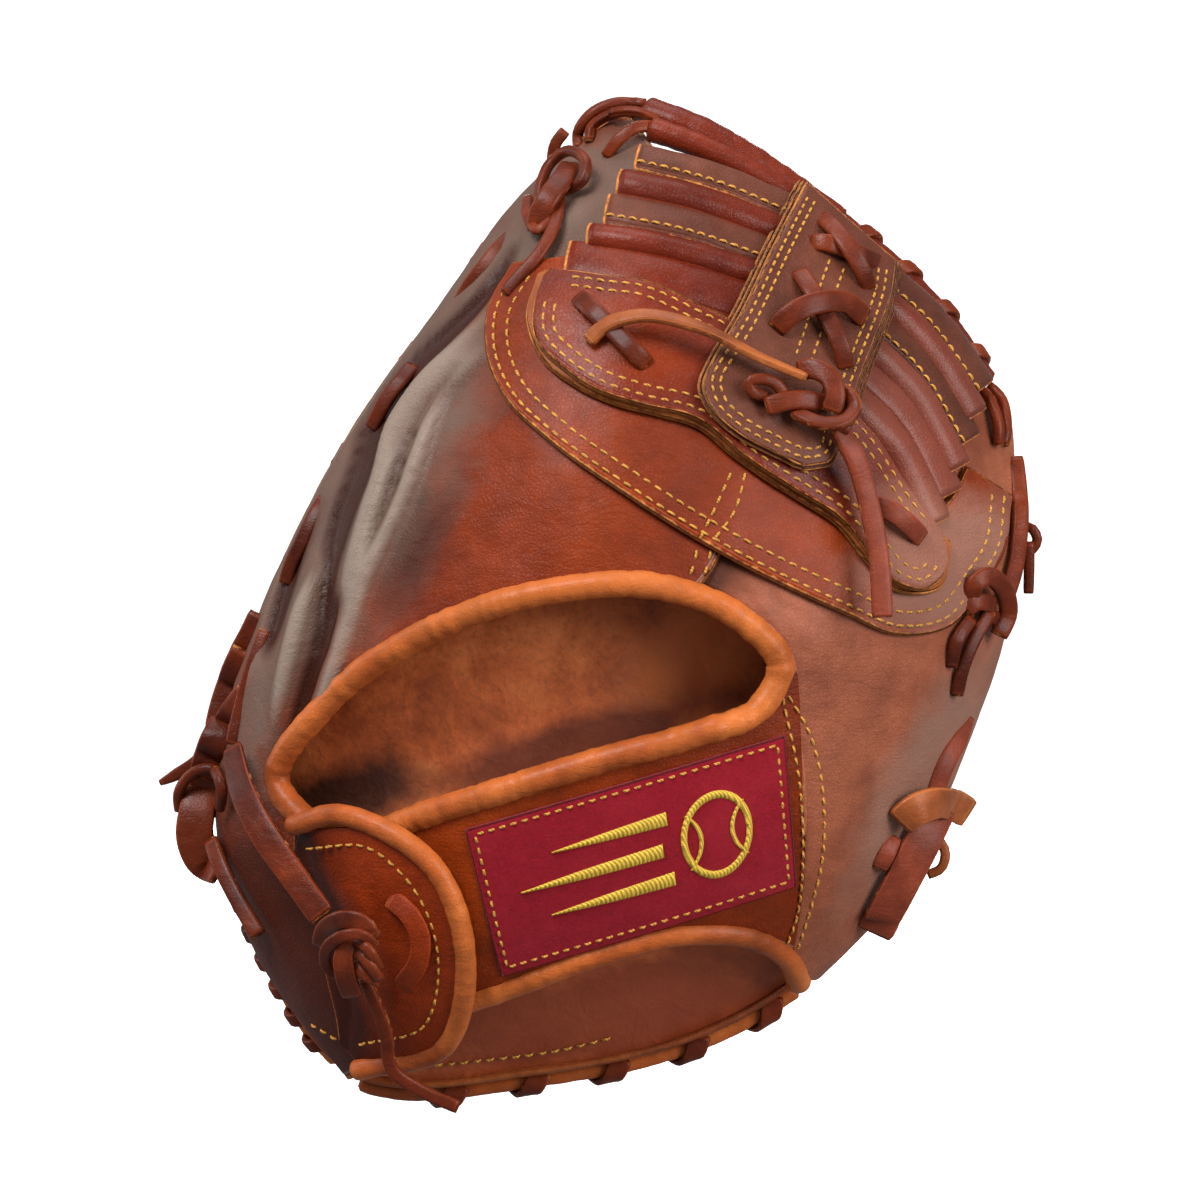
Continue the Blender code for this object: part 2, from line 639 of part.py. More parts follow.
clear_scene()
MITT = bpy.data.collections.new("catchers_mitt")
bpy.context.scene.collection.children.link(MITT)
BODIES = make_bodies()

make_back()
make_stall()
make_opening()
make_strap()
make_flap()
make_wrist_lace()
make_palm()
make_lining()
make_pads()
make_web_base()
make_crescent()
make_strips()
make_top_strap()
make_spine()
make_web_laces()
make_edges()
make_finger_laces()
make_thumb_laces()
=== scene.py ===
"""The looks of the catcher's mitt: leather, laces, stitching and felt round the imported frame.

Leather pieces lie on the frame's three surfaces, each a height in Y over a place (x, z): the
back, the lining and the palm. Sizes are in millimetres until a mesh is made. A lift is a
distance from a surface towards the wearer.
"""

import math

import bpy
import numpy as np
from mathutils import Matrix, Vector, noise


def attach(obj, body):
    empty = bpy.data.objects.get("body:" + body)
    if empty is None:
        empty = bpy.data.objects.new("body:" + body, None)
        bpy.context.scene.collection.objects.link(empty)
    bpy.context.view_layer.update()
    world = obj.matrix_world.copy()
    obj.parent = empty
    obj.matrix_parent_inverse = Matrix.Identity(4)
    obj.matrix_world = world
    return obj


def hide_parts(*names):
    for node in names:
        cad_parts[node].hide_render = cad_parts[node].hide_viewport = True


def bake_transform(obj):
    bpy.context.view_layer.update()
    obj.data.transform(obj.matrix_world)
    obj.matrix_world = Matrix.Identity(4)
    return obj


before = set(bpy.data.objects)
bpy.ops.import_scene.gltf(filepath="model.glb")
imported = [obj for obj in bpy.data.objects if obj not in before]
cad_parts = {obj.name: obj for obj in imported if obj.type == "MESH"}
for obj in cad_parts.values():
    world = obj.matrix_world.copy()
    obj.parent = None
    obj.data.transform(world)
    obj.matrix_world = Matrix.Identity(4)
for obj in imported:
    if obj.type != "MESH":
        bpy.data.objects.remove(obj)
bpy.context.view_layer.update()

MM = 0.001

# The frame's depths, profiles and thicknesses, as in the CAD.
RIM_Y = 58.0
BACK_SUMMIT_Y = -8.0
LINING_Y = 30.0
POCKET_Y = 46.0
CREST_Y = 84.0
CURL_ACROSS = 12.0
CURL_ALONG = 6.0
CURL_REACH = 100.0
BACK_ROUNDNESS = 0.55
WEB_ROUNDNESS = 0.9
ROLL_ROUNDNESS = 0.6
CREST_SHARE = 0.78
WEB_THICKNESS = 12.0
BACK_CENTRE = (20, 23)
POCKET_CENTRE = (42, 36)
WEB_HEADING = math.radians(54)
WEB_HALF_ANGLE = math.radians(42)
WEB_START = 0.35
WEB_FULL = 0.6
LEATHER = 2.2
PALM_LEATHER = 3.0
THIN_LEATHER = 1.4
GAP = 0.8
LACE_WIDTH = 6.0
LACE_THICKNESS = 2.4
OPENING_ROLL = 4.2
EDGE_ROLL = 3.2
WELT = 2.2
STRIP_THICKNESS = 4.0
BAND_LIFT = LEATHER + GAP
STRIP_LIFT = BAND_LIFT + LEATHER + GAP
SPINE_LIFT = STRIP_LIFT + STRIP_THICKNESS + GAP
FLAP_LIFT = OPENING_ROLL + EDGE_ROLL + GAP
OVER_FLAP = FLAP_LIFT + LEATHER / 2 + EDGE_ROLL + GAP
FINE_STEPS = 24
RIM = [
    (-54, -115), (-83, -75), (-94, -38), (-88, 3), (-71, 46), (-52, 81), (-29, 113), (8, 160),
    (35, 178), (87, 151), (136, 96), (145, 52), (129, -12), (102, -66), (61, -98), (3, -114),
]

CREASE_DEPTH = 2.0  # a crease this deep gets the darkest painted shade
DEEPEST_CREASE = 3.4
CREST_HIGHLIGHT_LEVEL = 0.2  # painted highlight on the crest of a fold
EDGE_WEAR = 0.75  # on the edge of a sheet
END_WEAR = 0.5  # on the end of a lace
SHEET_ROUNDING = 0.24  # of a sheet's thickness
SHEET_BEAD = 0.35  # of a sheet's thickness
LACE_TAPER = 0.92  # a lace's size at its very ends
ROLL_TAPER = 0.6  # a roll's
ROLL_SIDES = 20

THREAD = 0.42  # radius
STITCH = 2.7
STITCH_PITCH = 3.7


# ---- Curves and surfaces ---------------------------------------------------------------------

def fine_curve(controls, closed=False):
    """Close points along a smooth curve, how far along each is, and how far each control is."""
    knots = np.array(controls, float)
    if closed:
        knots = np.vstack([knots[-1:], knots, knots[:2]])
    chords = np.linalg.norm(np.diff(knots, axis=0), axis=1)
    at = np.concatenate([[0.0], np.cumsum(chords)])
    slopes = np.gradient(knots, at, axis=0)
    first, last = (1, len(knots) - 2) if closed else (0, len(knots) - 1)
    t = np.linspace(0, 1, FINE_STEPS, endpoint=False)[:, None]
    fine = []
    for i in range(first, last):
        span = at[i + 1] - at[i]
        fine.append(
            (2 * t**3 - 3 * t**2 + 1) * knots[i] + (t**3 - 2 * t**2 + t) * span * slopes[i]
            + (3 * t**2 - 2 * t**3) * knots[i + 1] + (t**3 - t**2) * span * slopes[i + 1]
        )
    fine = np.vstack(fine + [knots[last:last + 1]])
    travelled = np.concatenate([[0.0], np.cumsum(np.linalg.norm(np.diff(fine, axis=0), axis=1))])
    return fine, travelled, travelled[::FINE_STEPS]


def along_curve(fine, travelled, wanted):
    return np.stack([np.interp(wanted, travelled, axis) for axis in fine.T], axis=-1)


def smooth_curve(controls, count, closed=False):
    """Points at even distances along a smooth curve through the controls."""
    fine, travelled, _ = fine_curve(controls, closed)
    return along_curve(fine, travelled, np.linspace(0, travelled[-1], count, endpoint=not closed))


def length_of(points):
    return np.linalg.norm(np.diff(points, axis=0), axis=1).sum()


RIM_CURVE = smooth_curve(RIM, 1440, closed=True)


def from_centre(centre, angles, far):
    """Places in directions from a centre, each as far away as it is told."""
    return np.stack([centre[0] + far * np.cos(angles), centre[1] + far * np.sin(angles)], axis=-1)


def at_depth(places, depth):
    """Points at places, each as deep in Y as it is told."""
    return np.stack([places[..., 0], depth, places[..., 1]], axis=-1)


def rim_radius(angles, centre):
    offsets = RIM_CURVE - centre
    headings = np.arctan2(offsets[:, 1], offsets[:, 0])
    return np.interp(angles, headings, np.linalg.norm(offsets, axis=1), period=2 * math.pi)


def rim_share(places, centre):
    """Where places are on the way from a centre, 0, to the rim, 1."""
    offsets = places - np.array(centre)
    angles = np.arctan2(offsets[..., 1], offsets[..., 0])
    return np.linalg.norm(offsets, axis=-1) / rim_radius(angles, centre)


def smooth_step(value, low, high):
    t = np.clip((value - low) / (high - low), 0, 1)
    return t * t * (3 - 2 * t)


def in_web_direction(places):
    """1 on the web's side of the back's centre, 0 away from it."""
    offsets = places - np.array(BACK_CENTRE)
    turn = np.arctan2(offsets[..., 1], offsets[..., 0]) - WEB_HEADING
    turn = np.abs((turn + math.pi) % (2 * math.pi) - math.pi)
    return 1 - smooth_step(turn, 0.5 * WEB_HALF_ANGLE, 1.4 * WEB_HALF_ANGLE)


def curl(places):
    """How far the whole mitt curls towards the palm's side at places."""
    across, along = np.moveaxis((places - np.array(POCKET_CENTRE)) / CURL_REACH, -1, 0)
    return CURL_ACROSS * across**2 + CURL_ALONG * along**2


def dome(places):
    """The back's rise: 0 at the rim, 1 at its centre."""
    roundness = BACK_ROUNDNESS + (WEB_ROUNDNESS - BACK_ROUNDNESS) * in_web_direction(places)
    return np.clip(1 - rim_share(places, BACK_CENTRE) ** 2, 0, 1) ** roundness


def back(places):
    return RIM_Y - (RIM_Y - BACK_SUMMIT_Y) * dome(places) + curl(places)


def lining(places):
    return RIM_Y - (RIM_Y - LINING_Y) * dome(places) + curl(places)


def palm(places):
    """The inner face of the palm leather."""
    share = rim_share(places, POCKET_CENTRE)
    bowl = (1 - np.cos(math.pi * np.clip(share / CREST_SHARE, 0, 1))) / 2
    inside = POCKET_Y + (CREST_Y - POCKET_Y) * bowl
    past_crest = np.clip((share - CREST_SHARE) / (1 - CREST_SHARE), 0, 1)
    outside = RIM_Y + (CREST_Y - RIM_Y) * (1 - past_crest**2) ** ROLL_ROUNDNESS
    ring = np.where(share < CREST_SHARE, inside, outside) + curl(places)
    thin = in_web_direction(places) * smooth_step(rim_share(places, BACK_CENTRE), WEB_START, WEB_FULL)
    return ring * (1 - thin) + (back(places) + WEB_THICKNESS) * thin


def normals_of(surface, places):
    step = 0.4
    slope_x = (surface(places + (step, 0)) - surface(places - (step, 0))) / (2 * step)
    slope_z = (surface(places + (0, step)) - surface(places - (0, step))) / (2 * step)
    normals = np.stack([slope_x, -np.ones_like(slope_x), slope_z], axis=-1)
    return normals / np.linalg.norm(normals, axis=-1, keepdims=True)


def foot_of(surface, places, seen):
    """Where to start on a surface so that a point at the seen lift has the places as x and z.

    Where the surface is steep, it starts at the places themselves.
    """
    foot = places
    for _ in range(12):
        foot = (foot + places - seen * normals_of(surface, foot)[..., [0, 2]]) / 2
    gentle = smooth_step(-normals_of(surface, places)[..., 1], 0.25, 0.5)[..., None]
    return places + (foot - places) * gentle


def lifted(surface, places, lift):
    """Points at a lift from a surface, seen by the wearer at the places."""
    places = np.asarray(places, float)
    lift = np.asarray(lift, float)[..., None]
    foot = foot_of(surface, places, lift)
    return at_depth(foot, surface(foot)) + lift * normals_of(surface, foot)


def facing(surface, places):
    """Normals of a surface, towards the wearer."""
    return normals_of(surface, np.asarray(places, float))


def rim_path(start, end, count):
    """Points on the rim, clockwise from the place nearest to start to the one nearest to end."""
    first, last = (int(np.argmin(np.linalg.norm(RIM_CURVE - end_place, axis=1)))
                   for end_place in (start, end))
    if last < first:
        last += len(RIM_CURVE)
    places = RIM_CURVE[np.linspace(first, last, count).round().astype(int) % len(RIM_CURVE)]
    return at_depth(places, RIM_Y + curl(places))


def beside_rim(start, end, outward, depth, count):
    """A path along the rim, moved outward from it and deeper in Y."""
    path = rim_path(start, end, count)
    forward = unit(np.gradient(path, axis=0))
    away = np.stack([-forward[:, 2], np.zeros(count), forward[:, 0]], axis=-1)
    return path + outward * away + np.array([0, depth, 0])


def unit(vectors):
    return vectors / np.linalg.norm(vectors, axis=-1, keepdims=True)


def rumple(points, size, seed, octaves=3):
    """Smooth noise at points, about -1 to 1, with features of a size in millimetres."""
    shift = Vector((seed * 17.3, seed * 5.1, seed * 9.7))
    return np.array([
        noise.fractal(Vector(p) / size + shift, 1.0, 2.0, octaves) for p in points.tolist()
    ])


def rumple_over(places, size, seed, octaves=3):
    """The same noise at places."""
    return rumple(at_depth(places, np.zeros(len(places))), size, seed, octaves)


# ---- Shapes ----------------------------------------------------------------------------------
#
# A shape is its points, its faces and a value at each point for wear and painted light: 1 is bare cut
# leather, the crest level a painted highlight on the top of a fold, 0 finished leather and -1 painted shade
# at the bottom of a crease.

def joined(shapes):
    """One shape out of several."""
    points, faces, cut, offset = [], [], [], 0
    for shape_points, shape_faces, shape_cut in shapes:
        points.append(shape_points)
        faces += [[i + offset for i in face] for face in shape_faces]
        cut.append(shape_cut)
        offset += len(shape_points)
    return np.vstack(points), faces, np.concatenate(cut)


def grid_faces(rows, columns, offset=0, flip=False, closed=False):
    """Quads between rows of points; closed joins each row's end to its start."""
    faces = []
    for r in range(rows - 1):
        for c in range(columns if closed else columns - 1):
            d = (c + 1) % columns
            quad = [offset + r * columns + c, offset + r * columns + d,
                    offset + (r + 1) * columns + d, offset + (r + 1) * columns + c]
            faces.append(quad[::-1] if flip else quad)
    return faces


def between(side_a, side_b):
    """Places between two curves, u along them and v across; the controls are paired."""
    sides = [fine_curve(side) for side in (side_a, side_b)]
    shares = np.linspace(0, 1, len(side_a))

    def places(u, v):
        a, b = (along_curve(fine, travelled, np.interp(u, shares, at))
                for fine, travelled, at in sides)
        return a + (b - a) * v[:, None]

    return places


def disc(centre, reach):
    """Places over a round area; reach(angle) is how far it goes from its centre."""
    def places(u, v):
        across, along = 2 * u - 1, 2 * v - 1
        x = across * np.sqrt(1 - along**2 / 2)
        z = along * np.sqrt(1 - across**2 / 2)
        angles = np.arctan2(z, x)
        return from_centre(centre, angles, np.sin(np.hypot(x, z) * math.pi / 2) * reach(angles))

    return places


def grid_over(places, cells):
    """A grid of places: u and v, the places, their numbers in rows, and the numbers round the edge."""
    columns, rows = cells[0] + 1, cells[1] + 1
    u, v = (share.ravel() for share in np.meshgrid(np.linspace(0, 1, columns), np.linspace(0, 1, rows)))
    grid = np.arange(rows * columns).reshape(rows, columns)
    ring = np.concatenate([grid[0, :-1], grid[:-1, -1], grid[-1, :0:-1], grid[:0:-1, 0]])
    return u, v, places(u, v), grid, ring


def closed_skin(over, grid, loops):
    """Faces of a grid, of a second one numbered after it, and of bands between loops round both."""
    rows, columns = grid.shape
    turned = float(np.cross(over[1] - over[0], over[columns] - over[0])) > 0
    faces = grid_faces(rows, columns, 0, flip=not turned)
    faces += grid_faces(rows, columns, grid.size, flip=turned)
    for first, second in zip(loops, loops[1:]):
        band = np.stack([first, second, np.roll(second, -1), np.roll(first, -1)], axis=-1)
        faces += (band[:, ::-1] if turned else band).tolist()
    return faces


def sheet(places, surface, lift, thickness, cells, relief=None):
    """Leather on a surface, with rounded edges; relief(places) brings it nearer the wearer."""
    _, _, over, grid, ring = grid_over(places, cells)
    rows, columns = grid.shape
    foot = foot_of(surface, over, lift + thickness / 2)
    normals = normals_of(surface, foot)
    raised = np.zeros(len(over)) if relief is None else relief(over)
    towards_wearer = unit(normals + np.array([0.0, -1.0, 0.0]))
    base = at_depth(foot, surface(foot)) + raised[:, None] * towards_wearer
    on_edge = np.zeros(len(over))
    on_edge[ring] = 1
    rounding = SHEET_ROUNDING * thickness * on_edge[:, None]
    top = base + (lift + thickness - rounding) * normals
    bottom = base + (lift + rounding) * normals
    middle = base + (lift + thickness / 2) * normals
    inner = grid[np.clip(ring // columns, 1, rows - 2), np.clip(ring % columns, 1, columns - 2)]
    bead = middle[ring] + SHEET_BEAD * thickness * unit(middle[ring] - middle[inner])
    on_bead = 2 * grid.size + np.arange(len(ring))
    faces = closed_skin(over, grid, [ring, on_bead, ring + grid.size])
    # The cut value carries painted light: a painted highlight on raised crests and painted shade in sunken
    # creases, with real wear on the edges.
    lit_crest = CREST_HIGHLIGHT_LEVEL * np.clip((raised - 1) / CREASE_DEPTH, 0, 1)
    crease_shade = np.clip(-raised / CREASE_DEPTH, 0, 1)
    worn = EDGE_WEAR * on_edge + (lit_crest - crease_shade) * (1 - on_edge)
    cut = np.concatenate([worn, EDGE_WEAR * on_edge, np.ones(len(ring))])
    return np.vstack([top, bottom, bead]), faces, cut


def swept(points, normals, section, cut_section, taper, scale):
    """A section carried along points; its own points are (sideways, along the normal)."""
    forward = unit(np.gradient(points, axis=0))
    up = unit(normals - forward * np.sum(normals * forward, axis=1, keepdims=True))
    side = np.cross(up, forward)
    count, around = len(points), len(section)
    size = scale.copy()
    size[[0, -1]] *= taper
    rings = points[:, None] + size[:, None, None] * (
        section[None, :, :1] * side[:, None] + section[None, :, 1:] * up[:, None])
    faces = grid_faces(count, around, closed=True)
    faces += [list(range(around))[::-1], list(range((count - 1) * around, count * around))]
    cut = np.tile(cut_section, count)
    if cut_section.any():
        cut[:around] = END_WEAR
        cut[-around:] = END_WEAR
    return rings.reshape(-1, 3), faces, cut


def flat_section(width, thickness):
    """A flat lace's section with rounded corners, and how far each of its points is cut leather."""
    w, t, r = width / 2, thickness / 2, thickness * 0.3
    quarter = [(w, t - r), (w - 0.3 * r, t - 0.3 * r), (w - r, t), (0.4 * w, t * 1.06)]
    half = quarter + [(-x, y) for x, y in quarter[::-1]]
    section = np.array(half + [(-x, -y) for x, y in half])
    return section, 0.42 * smooth_step(np.abs(section[:, 0]) / w, 0.9, 0.99)


def round_section(radius, squash):
    angles = np.linspace(0, 2 * math.pi, ROLL_SIDES, endpoint=False)
    return radius * np.stack([np.cos(angles), squash * np.sin(angles)], axis=-1)


def along(points, normals, step):
    """A finer path through points, with the normals turned along it, and the distances along it."""
    fine, travelled, at = fine_curve(points)
    wanted = np.linspace(0, travelled[-1], max(8, int(travelled[-1] / step)))
    turned = along_curve(np.asarray(normals, float), at, wanted)
    return along_curve(fine, travelled, wanted), unit(turned), wanted


def lace(points, normals, width=LACE_WIDTH, thickness=LACE_THICKNESS, ends=(1.0, 1.0)):
    """A flat lace along points, with its flat side along the normals."""
    path, turned, _ = along(points, normals, 1.5)
    section, cut = flat_section(width, thickness)
    scale = np.interp(np.linspace(0, 1, len(path)), [0, 0.35, 0.65, 1], [ends[0], 1, 1, ends[1]])
    return swept(path, turned, section, cut, LACE_TAPER, scale * (1 + 0.06 * rumple(path, 12, 3, 1)))


def roll(points, normals, radius, creases=0.05, squash=1.0):
    """A rolled strip of leather, creased across where it bends."""
    path, turned, wanted = along(points, normals, 1.0)
    place = np.stack([wanted, np.zeros_like(wanted), np.zeros_like(wanted)], axis=-1)
    scale = 1 + creases * rumple(place, 3.0, radius, 2) + 0.05 * rumple(place, 20, radius + 2, 1)
    section = round_section(radius, squash)
    return swept(path, turned, section, np.zeros(ROLL_SIDES), ROLL_TAPER, scale)


def roll_on_back(controls, radius, lift, count=60, **kind):
    """A rolled strip of leather along a curve on the back."""
    places = smooth_curve(controls, count)
    return roll(lifted(back, places, np.full(count, lift)), facing(back, places), radius, **kind)


def stitch_template():
    """One stitch along X, 1 long and 1 in radius, sunk at both ends."""
    share = np.array([0.0, 0.12, 0.35, 0.65, 0.88, 1.0])
    radii = np.array([0.45, 0.9, 1.0, 1.0, 0.9, 0.45])
    heights = np.array([-1.1, -0.15, 0.4, 0.4, -0.15, -1.1])
    angles = np.linspace(0, 2 * math.pi, 6, endpoint=False)
    rings = [np.stack([np.full(6, s), r * np.cos(angles), h + r * np.sin(angles)], axis=-1)
             for s, r, h in zip(share, radii, heights)]
    faces = grid_faces(6, 6, closed=True)
    faces += [list(range(6))[::-1], list(range(30, 36))]
    return np.vstack(rings), faces


def stitched(rows, pitch=STITCH_PITCH, length=STITCH):
    """Rows of stitches; a row is its points and the leather's normals there."""
    template, faces = stitch_template()
    shapes = []
    for path, normals in rows:
        fine, travelled, at = fine_curve(path)
        count = max(2, int(travelled[-1] / pitch))
        for start in (np.arange(count) + 0.15) * travelled[-1] / count:
            first = along_curve(fine, travelled, start)
            forward = along_curve(fine, travelled, start + length) - first
            up = along_curve(np.asarray(normals), at, start)
            side = unit(np.cross(up, forward))
            up = unit(np.cross(forward, side))
            around = THREAD * (template[:, 1:2] * side + template[:, 2:] * up)
            points = first + template[:, :1] * forward + around
            shapes.append((points, faces, np.zeros(len(template))))
    return joined(shapes)


def seam(controls, lift, surface=back, count=50):
    """A row for stitched(), along a curve on a surface."""
    places = smooth_curve(controls, count)
    return lifted(surface, places, np.full(count, lift)), facing(surface, places)


def leftward(path):
    """The direction to the left of a curve, at each of its points."""
    heading = unit(np.gradient(path, axis=0))
    return np.stack([-heading[:, 1], heading[:, 0]], axis=-1)


def offset_curve(controls, distance, count=50):
    """The curve through the controls, moved sideways: to its left if the distance is positive."""
    path = smooth_curve(controls, count)
    return path + distance * leftward(path)


def folds(ridges):
    """A relief with a ridge, or a crease if its height is negative, along each curve.

    A width is how far it reaches to each side, or a pair for the left and the right.
    """
    curves = []
    for controls, width, height in ridges:
        path = smooth_curve(controls, 80)
        curves.append((path, leftward(path), np.broadcast_to(width, 2), height))

    def relief(places):
        total = np.zeros(len(places))
        for path, left, widths, height in curves:
            offsets = places[:, None] - path[None]
            gaps = np.linalg.norm(offsets, axis=2)
            nearest = gaps.argmin(axis=1)
            offset = offsets[np.arange(len(places)), nearest]
            on_left = np.sum(offset * left[nearest], axis=1) > 0
            away = gaps.min(axis=1) / np.where(on_left, widths[0], widths[1])
            fade = np.sin(math.pi * (0.04 + 0.92 * nearest / (len(path) - 1))) ** 0.7
            total += height * fade * np.exp(-away ** (1.3 if height < 0 else 2.0))
        near_rim = smooth_step(1 - rim_share(places, BACK_CENTRE), 0.0, 0.05)
        return np.maximum(total * near_rim, -DEEPEST_CREASE) + 0.45 * rumple_over(places, 18, 5)

    return relief


# ---- Pieces ----------------------------------------------------------------------------------

ACROSS_FOLD = ("finger_side", "thumb_side")


def add(name, shape, paint, body, stands_for=()):
    """Make a shape a piece that rides on a body, or spans the fold and rides on none, and stands for nodes.
    """
    points, faces, cut = shape
    data = bpy.data.meshes.new(name)
    data.from_pydata((points * MM).tolist(), [], faces)
    data.materials.append(paint)
    data.shade_smooth()
    # The cut attribute holds wear, a painted highlight on fold crests and painted shade in creases.
    layer = data.attributes.new("cut", "FLOAT", "POINT")
    layer.data.foreach_set("value", np.asarray(cut, dtype=np.float32))
    piece = bpy.data.objects.new(name, data)
    bpy.context.scene.collection.objects.link(piece)
    if body == ACROSS_FOLD:
        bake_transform(piece)
    else:
        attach(piece, body)
    if stands_for:
        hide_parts(*stands_for)
    return piece


# ---- Materials -------------------------------------------------------------------------------

SUEDE = (0.60, 0.215, 0.055)
# Painted highlight: the grey-white light on the crests of the back's folds.
CREST_HIGHLIGHT_COLOUR = (0.29, 0.225, 0.18)


def new_material(name):
    paint = bpy.data.materials.new(name)
    paint.use_nodes = True
    return paint, paint.node_tree, paint.node_tree.nodes["Principled BSDF"]


def feed(tree, made, **inputs):
    """Give a node its inputs; each is a value or another node's output."""
    for key, value in inputs.items():
        socket = made.inputs[int(key[1:])] if key[0] == "_" else made.inputs[key.replace("_", " ")]
        if isinstance(value, bpy.types.NodeSocket):
            tree.links.new(value, socket)
        else:
            socket.default_value = value


def node(tree, kind, settings=None, **inputs):
    """A shader node with its settings and inputs."""
    made = tree.nodes.new(kind)
    for key, value in (settings or {}).items():
        setattr(made, key, value)
    feed(tree, made, **inputs)
    return made


def vector_math(tree, operation, *inputs):
    made = node(tree, "ShaderNodeVectorMath", {"operation": operation})
    feed(tree, made, **{f"_{i}": value for i, value in enumerate(inputs)})
    return made


def coordinates(tree, stretch=(1, 1, 1)):
    """A piece's own coordinates; a smaller stretch makes a pattern longer that way."""
    place = node(tree, "ShaderNodeTexCoord").outputs["Object"]
    return vector_math(tree, "MULTIPLY", place, stretch).outputs[0]


def noise_of(tree, place, scale, detail=4.0, roughness=0.55, distortion=0.0):
    return node(tree, "ShaderNodeTexNoise", Vector=place, Scale=scale, Detail=detail,
                Roughness=roughness, Distortion=distortion).outputs["Fac"]


def ramp(tree, value, stops):
    """A colour for each value, from (value, colour) stops."""
    made = node(tree, "ShaderNodeValToRGB", Fac=value)
    elements = made.color_ramp.elements
    while len(elements) < len(stops):
        elements.new(0.5)
    for element, (at, colour) in zip(elements, stops):
        element.position = at
        element.color = colour
    return made.outputs["Color"]


def remap(tree, value, low, high, new_low, new_high):
    """A value from one range, brought to another and kept within it."""
    made = node(tree, "ShaderNodeMapRange", Value=value, _1=low, _2=high, _3=new_low, _4=new_high)
    return made.outputs["Result"]


def mix(tree, share, first, second, blend="MIX"):
    settings = {"data_type": "RGBA", "blend_type": blend}
    return node(tree, "ShaderNodeMix", settings, _0=share, _6=first, _7=second).outputs[2]


def calc(tree, operation, first, second):
    return node(tree, "ShaderNodeMath", {"operation": operation}, _0=first, _1=second).outputs[0]


def bump(tree, height, distance, strength=1.0, **under):
    made = node(tree, "ShaderNodeBump", Height=height, Distance=distance, Strength=strength, **under)
    return made.outputs["Normal"]


def rgba(colour, brightness=1.0):
    """A colour with its alpha, made brighter or darker."""
    return (*(brightness * c for c in colour), 1)


def oval_mask(tree, centre, reach, heading, strength):
    """How far an oval patch colours each place, for real marks and for painted light: 0 outside it, and its
    strength in its middle.

    Its centre is (x, z), its reach is (along, across) and its heading is in degrees from +X.
    """
    middle = (centre[0] * MM, 0, centre[1] * MM)
    offset = vector_math(tree, "SUBTRACT", coordinates(tree), middle).outputs[0]
    turned = node(tree, "ShaderNodeVectorRotate", {"rotation_type": "Y_AXIS"}, Vector=offset,
                  Angle=math.radians(heading)).outputs[0]
    per_reach = (1 / (reach[0] * MM), 0, 1 / (reach[1] * MM))
    scaled = vector_math(tree, "MULTIPLY", turned, per_reach).outputs[0]
    away = vector_math(tree, "LENGTH", scaled).outputs["Value"]
    uneven = remap(tree, noise_of(tree, coordinates(tree), 45, 5, 0.65), 0.3, 0.7, -0.2, 0.2)
    return remap(tree, calc(tree, "ADD", away, uneven), 0.55, 1.15, strength, 0.0)


def with_stains_and_painted_light(tree, tone, stains_and_painted_light):
    """A tone with oval patches over it, some real marks and some painted light, each a colour and where it
    is.
    """
    for colour, *where in stains_and_painted_light:
        tone = mix(tree, oval_mask(tree, *where), tone, rgba(colour))
    return tone


